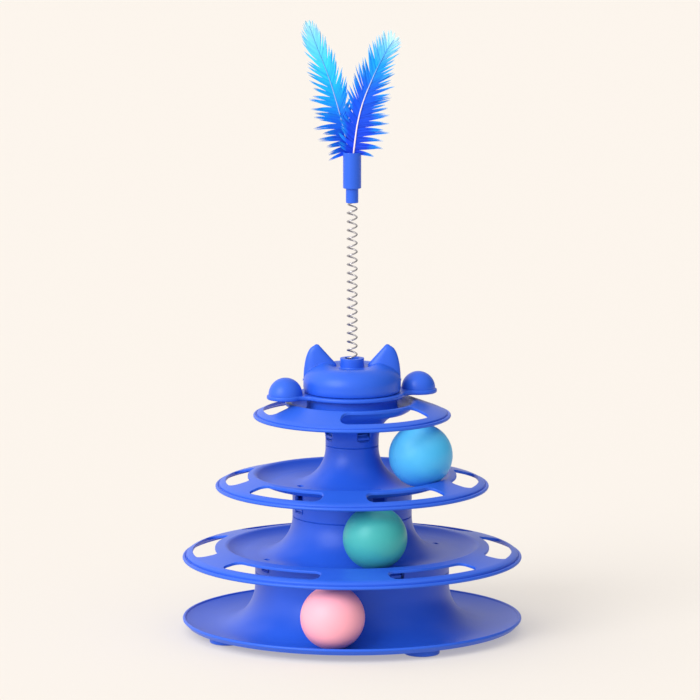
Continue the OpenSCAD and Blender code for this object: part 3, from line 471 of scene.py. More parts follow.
baseTray = {"hub": 68.7, "hubTop": 43, "floor": 5, "path": 97.3, "flareHigh": 28.6, "rim": 120, "rimHigh": 5,
            "lipHigh": 4.9, "lipInset": 3.6, "lipFoot": (0.52, 1.69), "under": 1.825}
feet = {"turns": (29, 119, 209, 299), "place": 100, "r": 12.5, "low": 0.4, "edge": 1.15, "fillet": 2,
        "pad": 10.2, "padThick": 1.4, "reach": 12}


def baseLine(down):
    base = baseTray
    rise = base["rim"] - beadRound - base["path"]
    climb = 2 * math.atan2(base["rimHigh"] - wall / 4, rise)
    bend = rise / math.sin(climb)
    flare = base["path"] - base["hub"]
    path, floor, flareHigh = base["path"], base["floor"], base["flareHigh"]
    line = arc(path, floor + flareHigh, flare + down, flareHigh + down, 180, 270, 30)
    return line + arc(path, floor + bend, bend + down, bend + down, -90, math.degrees(climb) - 90, 24)[1:]


def baseOutline():
    # the bead and the drawn-in lip hang between the ends of the upper and the lower surface
    base = baseTray
    rimTop = base["floor"] + base["rimHigh"]
    beadR, beadZ = base["rim"] - beadRound, rimTop - beadRound
    lipR, lipZ = base["rim"] - base["lipInset"], rimTop - base["lipHigh"]
    top = [p for p in baseLine(0) if math.hypot(p[0] - beadR, p[1] - beadZ) > beadRound]
    under = [p for p in baseLine(base["under"]) if p[0] < lipR + 0.4]
    footR, footZ = base["lipFoot"]
    lip = [(lipR + wall / 4, lipZ), (lipR - wall / 2, lipZ), (lipR + footR, lipZ + footZ)]
    start = spigotLine(base["hub"], base["hubTop"])
    bead = arc(beadR, beadZ, beadRound, beadRound, 171, -76, 16)
    return list(reversed(start)) + top + bead + lip + list(reversed(under))


def footSection():
    foot = feet
    fillet = foot["fillet"]
    recess, edge = foot["pad"] + spigot["gap"], foot["edge"]
    line = [(0, foot["padThick"]), (recess, foot["padThick"]), (recess, foot["low"])]
    line += arc(foot["r"] - edge, foot["low"] + edge, edge, edge, -90, 0, 8)
    line += arc(foot["r"] + fillet, baseTray["floor"] - wall, fillet, fillet, 180, 90, 8)
    return line + [(foot["r"] + fillet, foot["reach"]), (0, foot["reach"])]


def makeBase():
    base = baseTray
    piece = turnOutline("baseTray", baseOutline())
    legs = []
    for turn in feet["turns"]:
        leg = turnOutline("foot", footSection(), closed=False, steps=72)
        leg.location = around(feet["place"], turn)
        pickOnly(leg)
        bpy.ops.object.transform_apply(location=True)
        legs.append(leg)
    below = baseLine(wall / 2)
    below += [(base["rim"] - base["lipInset"], -1), (base["hub"], -1), (base["hub"], base["hubTop"])]
    legs = combine(joinPieces(legs), turnOutline("below", below), "INTERSECT")
    piece = joinPieces([piece, legs] + latchTabs(base["hub"], base["hubTop"]))
    softenEdges(piece, 0.4)
    return settle(piece, "baseTray", bluePlastic, "tower", "blue_plastic", "base_tray")


def makePads():
    pads = []
    for turn in feet["turns"]:
        bpy.ops.object.select_all(action="DESELECT")
        bpy.ops.mesh.primitive_cylinder_add(
            vertices=64, radius=feet["pad"] * mm, depth=feet["padThick"] * mm,
            location=around(feet["place"], turn, feet["padThick"] / 2))
        bpy.ops.object.transform_apply(location=True)
        pads.append(bpy.context.object)
    piece = softenEdges(joinPieces(pads), 0.25, 2)
    return settle(piece, "footPads", padRubber, "tower", "pad_rubber", "foot_pads")


makeBase()
makePads()
makeTray("middleTray", "middle_tray", middleTray)
makeTray("upperTray", "upper_tray", upperTray)


# Top disc: drum, dish, crest and band with three long slots, over a flare and a narrow collar

topDisc = {"drum": 32, "drumTop": 167.6, "floor": 158.5, "dish": 36, "crest": 45.5, "crestHigh": 5.8,
           "rim": 69.8, "rimDrop": 5.7, "edgeHigh": 3, "slotInset": 1.7,
           "slots": ((27.3, 71), (148.5, 71), (260.5, 71)),
           "collar": 18.8, "seam": 132.8, "flareWide": 19.6, "flareHigh": 19.5, "flareStop": 108.8,
           "filletStop": 231.3, "drumEdge": 1, "stemHole": 10.65, "pivot": 14, "pivotTop": 171.2}


def makeTopDisc():
    disc = topDisc
    dish, floor, drum = disc["dish"], disc["floor"], disc["drum"]
    climb = 2 * math.atan2(disc["crestHigh"], disc["crest"] - dish)
    bend = (disc["crest"] - dish) / math.sin(climb) - crestRound
    climb = math.degrees(climb)

    def band(down):
        line, slope = bandLine(disc, floor + disc["crestHigh"] - crestRound, climb, down)
        return arc(dish, floor + bend, bend + down, bend + down, -90, climb - 90, 12) + line, slope

    flareR, flareZ = disc["collar"] + disc["flareWide"], floor - wall - disc["flareHigh"]

    def flare(up, a0, a1):
        return arc(flareR, flareZ, disc["flareWide"] + up, disc["flareHigh"] + up, a0, a1, 22)

    top, slope = band(0)
    under = [p for p in band(wall)[0] if p[0] > flareR]
    drumTop, edge, stem, pivot = disc["drumTop"], disc["drumEdge"], disc["stemHole"], disc["pivot"]
    outline = [(stem, disc["pivotTop"]), (pivot, disc["pivotTop"]), (pivot, drumTop)]
    outline += arc(drum - edge, drumTop - edge, edge, edge, 90, 0, 6)
    outline += arc(drum + wall, floor + wall, wall, wall, 180, 270, 8)
    outline += rimLine(disc, top, slope) + list(reversed(under)) + flare(0, 90, 180)
    outline += collarLine(disc["collar"], disc["seam"], flareZ, flareZ)[1:]
    outline += flare(wall, 180, disc["flareStop"])[1:]
    outline += arc(drum + wall, floor + wall, 2 * wall, 2 * wall, disc["filletStop"], 180, 6)
    outline += [(drum - wall, drumTop - wall), (stem, drumTop - wall)]
    piece = turnOutline("topDisc", outline)
    combine(piece, joinPieces([slotCutter(disc, turn, span) for turn, span in disc["slots"]]))
    cutWindows(piece, disc)
    softenEdges(piece, 0.45)
    return settle(piece, "topDisc", bluePlastic, "tower", "blue_plastic", "top_disc")


makeTopDisc()


# Turning plate with two domed paws

pawPlate = {"low": 167.9, "thick": 3, "plate": 37.5, "paw": 49.1, "pawRim": 13.2, "fillet": 7, "dome": 12,
            "shoulder": 171.1, "domeWall": 1.6, "hole": 14.08, "turn": 17.5}


def makePawPlate():
    plate = pawPlate
    fillet, pawRim, disc, reach = plate["fillet"], plate["pawRim"], plate["plate"], plate["paw"]
    discArm, pawArm = disc + fillet, pawRim + fillet
    x = (reach ** 2 + discArm ** 2 - pawArm ** 2) / (2 * reach)
    y = math.sqrt(discArm ** 2 - x ** 2)
    toDisc = math.degrees(math.atan2(y, x))
    toPaw = math.degrees(math.atan2(y, reach - x))
    half = arc(x, -y, fillet, fillet, 180 - toDisc, toPaw, 12)[:-1]
    half += arc(reach, 0, pawRim, pawRim, toPaw - 180, 180 - toPaw, 56)[:-1]
    half += arc(x, y, fillet, fillet, -toPaw, toDisc - 180, 12)[:-1]
    half += arc(0, 0, disc, disc, toDisc, 180 - toDisc, 64)[:-1]
    outline = half + [(-px, -py) for px, py in half]
    piece = extrudeOutline("plate", [(px, py, plate["low"]) for px, py in outline], (0, 0, plate["thick"]))
    softenEdges(piece, 1.1, 5)
    domes = ((plate["dome"], plate["low"] + plate["thick"] / 2, "UNION"),
             (plate["dome"] - plate["domeWall"], plate["low"] - 1, "DIFFERENCE"))
    for side in (1, -1):
        for dome, low, operation in domes:
            outline = [(0, low), (dome, low)] + arc(0, plate["shoulder"], dome, dome, 0, 90, 20)
            shape = turnOutline("dome", outline, steps=64)
            shape.location.x = side * reach * mm
            pickOnly(shape)
            bpy.ops.object.transform_apply(location=True)
            combine(piece, shape, operation)
    bpy.ops.object.select_all(action="DESELECT")
    bpy.ops.mesh.primitive_cylinder_add(
        vertices=96, radius=plate["hole"] * mm, depth=0.02, location=(0, 0, plate["low"] * mm))
    bpy.ops.object.transform_apply(location=True)
    combine(piece, bpy.context.object)
    piece.rotation_euler.z = math.radians(plate["turn"])
    pickOnly(piece)
    bpy.ops.object.transform_apply(rotation=True)
    softenEdges(piece, 0.4, 3)
    return settle(piece, "pawPlateTop", bluePlastic, "turntable", "blue_plastic", "paw_plate")


makePawPlate()


# Head: a hollow cap with two ears and a collar for the spring

catHead = {"r": 34.4, "low": 171.2, "crown": 189.5, "shoulder": 12, "tuckHigh": 4, "tuck": 0.9, "dimple": 1.4,
           "wall": 2, "collar": 8.5, "collarRoot": 0.4, "collarTop": 194.9, "recess": 5.2, "recessHigh": 4,
           "socket": 3.35, "socketDeep": 6.5, "boss": ((0, 182.4), (6.5, 182.4), (8.4, 186))}
# where the shoulder swells in front of each ear: its middle, how far it spreads, and from what height
earSwell = {"high": 2.4, "x": 18, "wide": 6.5, "y": -4, "deep": 8, "from": 184, "full": 5}
# an ear's outline, seen from the front, and the heights of its rings, as shares of the way up
catEar = {"tip": (24.9, 202.4), "tipRound": 2.3, "tipTurn": 22.5, "inner": 11, "thick": 10, "thinning": 0.62,
          "closing": 0.12, "square": 0.86, "corners": 36,
          "rings": (0, 0.2, 0.34, 0.44, 0.52, 0.6, 0.68, 0.76, 0.83, 0.89, 0.935, 0.965, 0.985, 0.996)}


def headLine(inset):
    head = catHead
    line = []
    for i in range(9):
        u = i / 8
        line.append((head["r"] - inset - head["tuck"] * (1 - u) ** 2, head["low"] + head["tuckHigh"] * u))
    crown, shoulder = head["crown"], head["shoulder"]
    crownR, collarR = head["r"] - shoulder, head["collar"] + head["collarRoot"]
    line += arc(crownR, crown - shoulder, shoulder - inset, shoulder - inset, 0, 90, 20)
    for i in range(1, 13):
        u = i / 12
        line.append((crownR + (collarR - crownR) * u, crown - inset - head["dimple"] * u * u * (3 - 2 * u)))
    return line


def makeEar(side):
    # flat ovals from inside the head up to a round tip, bridged to each other and closed at both ends
    head, ear = catHead, catEar
    (tipX, tipZ), tipR, inner = ear["tip"], ear["tipRound"], ear["inner"]
    foot, crown = head["crown"] - head["shoulder"] + head["wall"], head["crown"] + 1
    lean, turn = math.atan2(tipZ - crown, tipX - inner), math.radians(ear["tipTurn"])
    innerX, innerZ = tipX - tipR * math.sin(lean), tipZ + tipR * math.cos(lean)
    outerX, outerZ = tipX + tipR * math.cos(turn), tipZ + tipR * math.sin(turn)
    rings = []
    for share in ear["rings"]:
        z = foot + (tipZ + tipR - foot) * share
        tip = math.sqrt(max(tipR ** 2 - (z - tipZ) ** 2, 0))
        left = inner + max(z - crown, 0) * (innerX - inner) / (innerZ - crown)
        if z > innerZ:
            left = tipX - tip
        drop = 1 - (outerZ - z) / (outerZ - foot)
        right = tipX + tip if z > outerZ else outerX + (head["r"] - 0.1 - outerX) * math.sqrt(1 - drop ** 2)
        half = ear["thick"] / 2 * (1 - ear["thinning"] * share ** 1.4)
        half *= min(1, math.sqrt((1 - share) / ear["closing"]))
        ring = []
        for i in range(ear["corners"]):
            a = math.radians(360 / ear["corners"] * i)
            across = math.copysign(abs(math.cos(a)) ** ear["square"], math.cos(a))
            ring.append((side * ((left + right) / 2 + (right - left) / 2 * across), half * math.sin(a), z))
        rings.append(traceOutline("ring", ring))
    leaveEdit()
    piece = joinPieces(rings)
    bpy.ops.object.mode_set(mode="EDIT")
    bpy.ops.mesh.select_all(action="SELECT")
    bpy.ops.mesh.bridge_edge_loops()
    bpy.ops.mesh.select_all(action="DESELECT")
    bpy.ops.mesh.select_non_manifold()
    bpy.ops.mesh.fill_holes(sides=0)
    bpy.ops.mesh.select_all(action="SELECT")
    bpy.ops.mesh.normals_make_consistent(inside=False)
    leaveEdit()
    return piece


def makeHead():
    head, swell = catHead, earSwell
    collar, collarTop, recess, socket = head["collar"], head["collarTop"], head["recess"], head["socket"]
    recessLow = collarTop - head["recessHigh"]
    socketLow = recessLow - head["socketDeep"]
    outline = headLine(0)
    outline += [(collar, head["crown"] - head["dimple"] + head["collarRoot"]), (collar, collarTop),
                (recess, collarTop), (recess, recessLow), (socket, recessLow), (socket, socketLow),
                (0, socketLow)]
    outline += list(head["boss"]) + list(reversed(headLine(head["wall"])))[1:]
    outline.append(outline[0])
    piece = turnOutline("head", outline, closed=False)
    for corner in piece.data.vertices:
        x, y, z = corner.co / mm
        aside, ahead = (abs(x) - swell["x"]) / swell["wide"], (y - swell["y"]) / swell["deep"]
        share = math.exp(-aside ** 2 - ahead ** 2) * min(max((z - swell["from"]) / swell["full"], 0), 1)
        corner.co.z += swell["high"] * mm * share
    for side in (1, -1):
        combine(piece, makeEar(side), "UNION")
    softenEdges(piece, 0.5, 4)
    return settle(piece, "catHeadCap", bluePlastic, "tower", "blue_plastic", "cat_head")


makeHead()


# Wand: coil spring, sleeve, ferrule and feathers

coil = {"wire": 0.6, "r": 3.35, "taper": 0.7, "tapered": 3.7, "low": 184.7, "long": 127.5, "curls": 20.75,
        "rings": 28, "grip": 7, "socket": 6.5, "split": 250, "bendFrom": 195, "bendTo": 306}


def coilPath():
    points = []
    end = coil["low"] + coil["long"]
    low, high = coil["low"] + coil["wire"], end - coil["wire"]
    count = int(coil["curls"] * coil["rings"])
    for i in range(count + 1):
        u = i / count
        z = low + (high - low) * u
        near = min(max((z - coil["low"] - coil["socket"] + 1) / coil["tapered"], 0), 1)
        far = min(max((end - coil["grip"] - 1 - z) / coil["tapered"], 0), 1)
        swell = min(near * near * (3 - 2 * near), far * far * (3 - 2 * far))
        r = coil["r"] - coil["taper"] * (1 - swell)
        a = 2 * math.pi * coil["curls"] * u
        points.append(Vector((r * math.cos(a), r * math.sin(a), z)) * mm)
    return points


def wireTube(name, points):
    curve = bpy.data.curves.new(name, "CURVE")
    curve.dimensions = "3D"
    curve.bevel_depth = coil["wire"] * mm
    curve.bevel_resolution = 2
    curve.use_fill_caps = True
    line = curve.splines.new("POLY")
    line.points.add(len(points) - 1)
    for spot, point in zip(line.points, points):
        spot.co = (*point, 1)
    piece = bpy.data.objects.new(name, curve)
    bpy.context.scene.collection.objects.link(piece)
    pickOnly(piece)
    bpy.ops.object.convert(target="MESH")
    piece = bpy.context.object
    bpy.ops.object.shade_smooth()
    return piece


def makeSpring():
    # in two pieces, split at a given height of the coil; in two pieces, because a piece
    # can be blended across one joint only
    points = coilPath()
    split, low, high = coil["split"] * mm, coil["bendFrom"] * mm, coil["bendTo"] * mm
    middle = min(range(len(points)), key=lambda i: abs(points[i].z - split))
    lower = wireTube("springLower", points[:middle + 1])
    upper = wireTube("springUpper", points[middle:])
    for piece, a, b, start, end in (
            (lower, "tower", "coil", low, split), (upper, "coil", "wand_head", split, high)):
        settle(piece, piece.name, steelWire, None, "spring_wire", "wand_spring")
        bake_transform(piece)


makeSpring()

wandHead = {"sleeve": 4.4, "sleeveLow": 305.2, "sleeveTop": 317, "bore": 3.35, "boreTop": 312, "ferrule": 6.4,
            "ferruleLow": 315.5, "ferruleTop": 340.9, "rim": 1.2, "recess": 1.6, "gap": 0.05}


def makeSleeve():
    part = wandHead
    r, bore, low, top = part["sleeve"], part["bore"], part["sleeveLow"], part["sleeveTop"]
    outline = [(0, part["boreTop"]), (bore, part["boreTop"]), (bore, low), (r, low), (r, top), (0, top)]
    piece = softenEdges(turnOutline("sleeve", outline, closed=False, steps=72), 0.4)
    return settle(piece, "springSleeve", bluePlastic, "wand_head", "blue_plastic", "spring_sleeve")


def makeFerrule():
    part = wandHead
    r, low, top = part["ferrule"], part["ferruleLow"], part["ferruleTop"]
    mouth, recess, bore = r - part["rim"], top - part["recess"], part["sleeve"] + part["gap"]
    outline = [(0, recess), (mouth, recess), (mouth, top), (r, top), (r, low), (bore, low),
               (bore, low + 1), (0, low + 1)]
    piece = softenEdges(turnOutline("ferrule", outline, closed=False, steps=96), 0.5)
    return settle(piece, "featherFerrule", bluePlastic, "wand_head", "blue_plastic", "feather_ferrule")


makeSleeve()
makeFerrule()


def featherVane(name, look):
    material, nodes, links, shader = newMaterial(name)
    fade = nodes.new("ShaderNodeAttribute")
    fade.attribute_name = "fade"
    along = nodes.new("ShaderNodeAttribute")
    along.attribute_name = "along"
    tint = nodes.new("ShaderNodeAttribute")
    tint.attribute_name = "tint"
    heart = nodes.new("ShaderNodeValToRGB")
    ends = nodes.new("ShaderNodeValToRGB")
    for ramp, stops in ((heart, look["heart"]), (ends, look["ends"])):
        band = ramp.color_ramp
        while len(band.elements) < len(stops):
            band.elements.new(0.5)
        for stop, (place, shade) in zip(band.elements, stops):
            stop.position = place
            stop.color = (*shade, 1)
        links.new(along.outputs["Fac"], ramp.inputs["Fac"])
    reach = nodes.new("ShaderNodeMapRange")
    reach.inputs["From Min"].default_value = look["endsFrom"]
    links.new(fade.outputs["Fac"], reach.inputs["Value"])
    mix = nodes.new("ShaderNodeMix")
    mix.data_type = "RGBA"
    links.new(reach.outputs["Result"], mix.inputs["Factor"])
    links.new(heart.outputs["Color"], mix.inputs["A"])
    links.new(ends.outputs["Color"], mix.inputs["B"])
    strand = nodes.new("ShaderNodeHueSaturation")
    bright = nodes.new("ShaderNodeMapRange")
    bright.inputs["To Min"].default_value = 0.84
    bright.inputs["To Max"].default_value = 1.14
    links.new(tint.outputs["Fac"], bright.inputs["Value"])
    links.new(bright.outputs["Result"], strand.inputs["Value"])
    links.new(mix.outputs["Result"], strand.inputs["Color"])
    links.new(strand.outputs["Color"], shader.inputs["Base Color"])
    # the strand colour also feeds the emission: a painted glow, not a lamp
    links.new(strand.outputs["Color"], shader.inputs["Emission Color"])
    shader.inputs["Emission Strength"].default_value = 0.12  # a painted glow in the barbs' own colour, standing in for the light that comes through the thin barbs
    thin = nodes.new("ShaderNodeMapRange")
    thin.inputs["From Min"].default_value = 0.72
    thin.inputs["To Min"].default_value = 1
    thin.inputs["To Max"].default_value = look["tipAlpha"]
    links.new(fade.outputs["Fac"], thin.inputs["Value"])
    links.new(thin.outputs["Result"], shader.inputs["Alpha"])
    shader.inputs["Roughness"].default_value = 0.62
    shader.inputs["Specular IOR Level"].default_value = 0.25
    shader.inputs["Sheen Weight"].default_value = 0.25
    shader.inputs["Sheen Roughness"].default_value = 0.4
    return material


# colours along the quill, in the middle of a vane and at its barbs' ends
cyanVane = featherVane("cyanVane", {
    "heart": ((0.0, (0.0, 0.03, 0.60)), (0.24, (0.0, 0.14, 0.78)), (0.45, (0.0, 0.38, 0.88)),
              (0.62, (0.03, 0.54, 0.90)), (0.82, (0.16, 0.62, 0.86)), (1.0, (0.36, 0.70, 0.84))),
    "ends": ((0.0, (0.0, 0.24, 0.82)), (0.30, (0.0, 0.34, 0.84)), (0.62, (0.04, 0.50, 0.86)),
             (1.0, (0.40, 0.72, 0.84))),
    "endsFrom": 0.4, "tipAlpha": 0.2})
royalVane = featherVane("royalVane", {
    "heart": ((0.0, (0.0, 0.035, 0.62)), (0.25, (0.0, 0.06, 0.70)), (0.52, (0.0, 0.11, 0.76)),
              (0.72, (0.0, 0.32, 0.84)), (0.86, (0.13, 0.54, 0.84)), (1.0, (0.50, 0.76, 0.84))),
    "ends": ((0.0, (0.0, 0.32, 0.82)), (0.4, (0.01, 0.36, 0.84)), (0.7, (0.06, 0.48, 0.86)),
             (1.0, (0.52, 0.78, 0.84))),
    "endsFrom": 0.45, "tipAlpha": 0.2})


def quillHorn(name, shade, edge):
    material, nodes, links, shader = newMaterial(name)
    along = nodes.new("ShaderNodeAttribute")
    along.attribute_name = "along"
    ramp = nodes.new("ShaderNodeValToRGB")
    ramp.color_ramp.elements[0].position = 0.45
    ramp.color_ramp.elements[0].color = (*shade, 1)
    ramp.color_ramp.elements[1].position = 0.8
    ramp.color_ramp.elements[1].color = (*edge, 1)
    links.new(along.outputs["Fac"], ramp.inputs["Fac"])
    links.new(ramp.outputs["Color"], shader.inputs["Base Color"])
    shader.inputs["Roughness"].default_value = 0.35
    return material


blueQuill = quillHorn("blueQuill", (0.34, 0.46, 0.72), (0.08, 0.36, 0.62))
paleQuill = quillHorn("paleQuill", (0.80, 0.70, 0.76), (0.06, 0.32, 0.80))


def along(points, u):
    # a smooth curve through the points, at a share of the way
    span = u * (len(points) - 1)
    i = min(int(span), len(points) - 2)
    t = span - i
    p = [Vector(points[min(max(j, 0), len(points) - 1)]) for j in (i - 1, i, i + 1, i + 2)]
    return 0.5 * (2 * p[1] + (p[2] - p[0]) * t + (2 * p[0] - 5 * p[1] + 4 * p[2] - p[3]) * t ** 2
                  + (3 * p[1] - p[0] - 3 * p[2] + p[3]) * t ** 3)


def lookUp(table, u):
    for (u0, *low), (u1, *high) in zip(table, table[1:]):
        if u <= u1:
            t = (u - u0) / (u1 - u0)
            return [a + (b - a) * t for a, b in zip(low, high)]
    return list(table[-1][1:])


# each side of a vane: share along the quill, barb length, lean at the quill and lean at the barb's end
barbSteps = 7
leftFeather = {
    "y": 1.7, "thick": 0.42, "barbs": 430, "seed": 5, "clumps": 40,
    "quill": ((-1.4, 331), (-2.0, 339.7), (-5.7, 356.1), (-8.4, 366.9), (-11.7, 378.5), (-15.4, 390.6),
              (-19.8, 402.7), (-24.4, 414.2), (-27.8, 423.6), (-30.2, 430.0)),
    "left": ((0.0, 15, 92, 104), (0.1, 19, 74, 86), (0.2, 20, 64, 80), (0.3, 20, 56, 70), (0.4, 18.5, 47, 58),
             (0.5, 18, 42, 43), (0.6, 18, 40, 24), (0.7, 19, 36, 8), (0.85, 13, 28, 4), (1.0, 3.5, 16, 4)),
    "right": ((0.0, 12, 62, 50), (0.15, 17, 50, 34), (0.3, 20, 42, 26), (0.5, 20, 38, 24), (0.7, 17, 34, 20),
              (0.85, 12, 28, 14), (1.0, 3.5, 18, 6))}
rightFeather = {
    "y": -1.7, "thick": 0.56, "barbs": 430, "seed": 11, "clumps": 42,
    "quill": ((1.0, 331), (1.0, 339.7), (2.3, 351.4), (3.7, 360.9), (6.0, 371.1), (9.0, 380.5), (12.4, 388.9),
              (16.4, 398.1), (21.1, 407.5), (25.5, 415.2), (29.0, 420.2)),
    "left": ((0.0, 13, 72, 60), (0.15, 18, 56, 44), (0.3, 21, 44, 34), (0.5, 21, 40, 32), (0.7, 19, 40, 34),
             (0.85, 15, 40, 36), (0.95, 9, 34, 30), (1.0, 4, 20, 10)),
    "right": ((0.0, 17, 88, 98), (0.1, 22, 78, 88), (0.25, 23, 66, 74), (0.4, 21, 54, 54), (0.55, 19, 44, 42),
              (0.7, 17, 38, 34), (0.85, 13, 32, 24), (1.0, 4, 20, 10))}


def barbCourse(look, side, u, changes):
    # points along one barb, from the quill to its end
    length, lean0, lean1 = lookUp(look[side], u)
    longer, lean, bend = changes
    hand = 1 if side == "left" else -1
    start = 1.0 / (len(look["quill"]) - 1)
    at = start + (1 - start) * u * 0.995
    place = along(look["quill"], at)
    ahead = along(look["quill"], min(at + 0.004, 1)) - along(look["quill"], max(at - 0.004, 0))
    base = math.atan2(ahead.y, ahead.x)
    points = [Vector((place.x, place.y))]
    for i in range(1, barbSteps + 1):
        a = base + hand * math.radians(lean0 + lean + (lean1 + bend - lean0) * i / barbSteps)
        points.append(points[-1] + Vector((math.cos(a), math.sin(a))) * length * longer / barbSteps)
    return points


def growBarbs(name, look):
    # every barb is a thin strip, and neighbours close up into a point at their ends as wet ones do
    dice = random.Random(look["seed"])
    corners, faces, fades, alongs, tints = [], [], [], [], []
    for side in ("left", "right"):
        clumps = []
        for n in range(look["clumps"]):
            u = (n + dice.uniform(0.15, 0.85)) / look["clumps"]
            loose = 1.1 - 0.8 * u
            longer = 1 + dice.uniform(-0.22, 0.10) * loose
            changes = (longer, dice.uniform(-3, 3), dice.uniform(-9, 9) * loose)
            course = barbCourse(look, side, u, changes)
            clumps.append((u, course, changes, dice.uniform(-1, 1) * 1.8 * loose, dice.random()))
        for n in range(look["barbs"]):
            u = (n + dice.random()) / look["barbs"]
            course, changes, spread, clumpTint = min(clumps, key=lambda clump: abs(clump[0] - u))[1:]
            longer, lean, bend = changes
            own = (longer * (1 + dice.uniform(-0.10, 0.04)), lean + dice.uniform(-2, 2), bend)
            course = zip(barbCourse(look, side, u, own), course)
            depth = dice.uniform(-0.5, 0.5)
            tint = 0.6 * clumpTint + 0.4 * dice.random()
            gather = dice.uniform(0.55, 0.95)
            broad = 0.30 + 0.14 * (1 - u)
            points = [a.lerp(b, gather * (i / barbSteps) ** 1.6) for i, (a, b) in enumerate(course)]
            for i, spot in enumerate(points):
                s = i / barbSteps
                step = points[min(i + 1, barbSteps)] - points[max(i - 1, 0)]
                across = Vector((-step.y, step.x)).normalized() * (broad * (1 - s ** 1.8) + 0.03)
                out = look["y"] + depth * (1 - 0.6 * s) + spread * s * s
                for sign in (-1, 1):
                    corner = Vector((spot.x + sign * across.x, out + sign * 0.12, spot.y + sign * across.y))
                    corners.append(corner * mm)
                    fades.append(s)
                    alongs.append(min(u + 0.08 * s, 1))
                    tints.append(tint)
                if i:
                    k = len(corners) - 4
                    faces.append((k, k + 1, k + 3, k + 2))
    mesh = bpy.data.meshes.new(name)
    mesh.from_pydata(corners, [], faces)
    for label, values in (("fade", fades), ("along", alongs), ("tint", tints)):
        layer = mesh.attributes.new(label, "FLOAT", "POINT")
        layer.data.foreach_set("value", values)
    piece = bpy.data.objects.new(name, mesh)
    bpy.context.scene.collection.objects.link(piece)
    pickOnly(piece)
    bpy.ops.object.shade_smooth()
    return piece


def makeQuill(name, look):
    curve = bpy.data.curves.new(name, "CURVE")
    curve.dimensions = "3D"
    curve.bevel_depth = look["thick"] * mm
    curve.bevel_resolution = 3
    curve.use_fill_caps = True
    line = curve.splines.new("POLY")
    count = 60
    line.points.add(count)
    for i, spot in enumerate(line.points):
        u = i / count
        x, z = along(look["quill"], u)
        spot.co = (x * mm, (look["y"] - 0.75 * min(1, 6 * u)) * mm, z * mm, 1)
        spot.radius = 1.15 - 0.85 * u
    piece = bpy.data.objects.new(name, curve)
    bpy.context.scene.collection.objects.link(piece)
    pickOnly(piece)
    bpy.ops.object.convert(target="MESH")
    piece = bpy.context.object
    lo, hi = look["quill"][0][1], look["quill"][-1][1]
    layer = piece.data.attributes.new("along", "FLOAT", "POINT")
    layer.data.foreach_set("value", [(corner.co.z / mm - lo) / (hi - lo) for corner in piece.data.vertices])
    bpy.ops.object.shade_smooth()
    return piece


for grow, name, look, finish, slot, node in (
        (growBarbs, "leftVane", leftFeather, cyanVane, "cyan_feather", "left_feather"),
        (makeQuill, "leftQuill", leftFeather, blueQuill, "cyan_feather", "left_feather"),
        (growBarbs, "rightVane", rightFeather, royalVane, "royal_feather", "right_feather"),
        (makeQuill, "rightQuill", rightFeather, paleQuill, "royal_feather", "right_feather")):
    settle(grow(name, look), name, finish, "wand_head", slot, node)


# Balls: two moulded halves with a fine parting line

ballShape = {"r": 22.5, "seamTurn": 0.35, "seamDeep": 0.12}
balls = (
    {"name": "pinkBall", "node": "pink_ball", "body": "lower_ball", "slot": "pink_plastic",
     "finish": pinkPlastic, "r": 97.3, "turn": -8, "z": 27.8, "tilt": (62, 20)},
    {"name": "greenBall", "node": "green_ball", "body": "mid_ball", "slot": "green_plastic",
     "finish": greenPlastic, "r": 71, "turn": 13, "z": 78.9, "tilt": (70, -35)},
    {"name": "blueBall", "node": "blue_ball", "body": "high_ball", "slot": "sky_plastic",
     "finish": skyPlastic, "r": 52.8, "turn": 66, "z": 129.0, "tilt": (55, 60)})


def makeBall(ball):
    r, seam = ballShape["r"], ballShape["seamTurn"]
    outline = arc(0, 0, r, r, -90, -seam, 40)
    outline += [(r - ballShape["seamDeep"], 0)] + arc(0, 0, r, r, seam, 90, 40)
    outline[0], outline[-1] = (0, -r), (0, r)
    piece = turnOutline("ball", outline, closed=False, steps=96)
    tiltX, tiltY = ball["tilt"]
    piece.rotation_euler = (math.radians(tiltX), math.radians(tiltY), 0)
    piece.location = around(ball["r"], ball["turn"], ball["z"])
    pickOnly(piece)
    bpy.ops.object.transform_apply(location=True, rotation=True)
    bpy.ops.object.shade_smooth()
    return settle(piece, ball["name"], ball["finish"], ball["body"], ball["slot"], ball["node"])


for ball in balls:
    makeBall(ball)


# Room, light and camera

# the room's brightness: towards the front left and up, and behind; direction, then what it rises from and to
glows = (((-0.66, -0.42, 0.52), -0.65, 0.8, 0.06, 1.38), ((0, 1, 0), 0.6, 0.95, 0, 0.5))


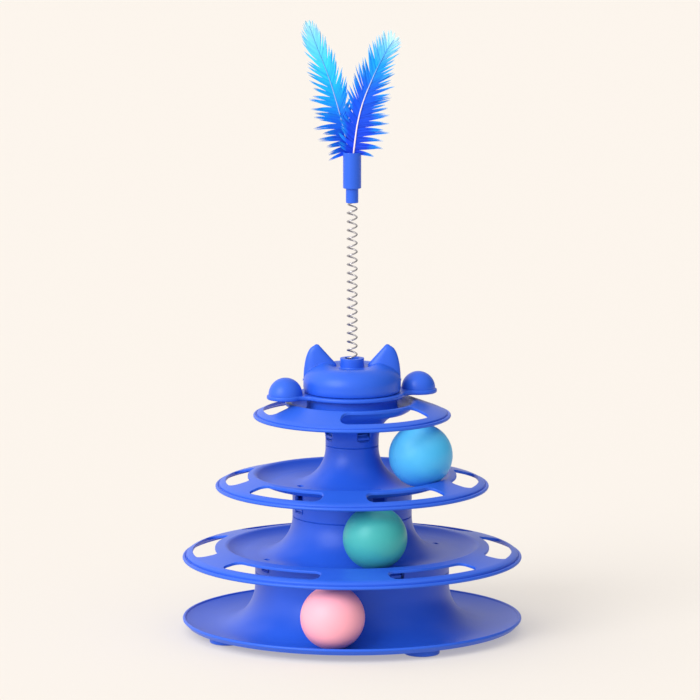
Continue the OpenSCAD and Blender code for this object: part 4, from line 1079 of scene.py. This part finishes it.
def makeRoom():
    bpy.ops.object.select_all(action="DESELECT")
    bpy.ops.mesh.primitive_plane_add(size=60, location=(0, 0, 0))
    floor = bpy.context.object
    floor.name = "paleFloor"
    material, *_, shader = newMaterial("paleFloor")
    shader.inputs["Base Color"].default_value = (0.44, 0.42, 0.395, 1)
    shader.inputs["Emission Color"].default_value = (1.0, 0.945, 0.885, 1)
    shader.inputs["Emission Strength"].default_value = 0.39  # keeps the shadows pale
    shader.inputs["Roughness"].default_value = 0.9
    shader.inputs["Specular IOR Level"].default_value = 0.1
    floor.data.materials.append(material)
    world = bpy.data.worlds.new("softRoom")
    bpy.context.scene.world = world
    world.use_nodes = True
    nodes, links = world.node_tree.nodes, world.node_tree.links
    sky = nodes["Background"]
    sky.inputs["Color"].default_value = (1.0, 0.965, 0.93, 1)
    place = nodes.new("ShaderNodeTexCoord")
    total = nodes.new("ShaderNodeMath")
    for socket, (aim, start, end, low, high) in zip(total.inputs, glows):
        side = nodes.new("ShaderNodeVectorMath")
        side.operation = "DOT_PRODUCT"
        side.inputs[1].default_value = Vector(aim).normalized()
        links.new(place.outputs["Generated"], side.inputs[0])
        power = nodes.new("ShaderNodeMapRange")
        for label, value in (("From Min", start), ("From Max", end), ("To Min", low), ("To Max", high)):
            power.inputs[label].default_value = value
        links.new(side.outputs["Value"], power.inputs["Value"])
        links.new(power.outputs["Result"], socket)
    links.new(total.outputs[0], sky.inputs["Strength"])


def addSun(name, place, aim, power, spread, tint):
    lamp = bpy.data.lights.new(name, "SUN")
    lamp.energy = power
    lamp.color = tint
    lamp.angle = math.radians(spread)
    holder = bpy.data.objects.new(name, lamp)
    bpy.context.scene.collection.objects.link(holder)
    holder.location = place
    holder.rotation_mode = "QUATERNION"
    holder.rotation_quaternion = (Vector(aim) - Vector(place)).to_track_quat("-Z", "Y")


makeRoom()
addSun("key", (-2.2, -2.3, 1.9), (0, 0, 0.15), 2.1, 40, (1.0, 0.985, 0.965))

cameraData = bpy.data.cameras.new("camera")
cameraData.lens = 332.6
cameraData.sensor_width = 36
cameraData.clip_end = 100
camera = bpy.data.objects.new("camera", cameraData)
bpy.context.scene.collection.objects.link(camera)
camera.location = (-0.00148, -4.5, 0.913)
camera.rotation_euler = (math.radians(81.003), 0, 0)
bpy.context.scene.camera = camera
bpy.context.scene.view_settings.view_transform = "Standard"
bpy.context.scene.view_settings.look = "None"
print("scene lit")
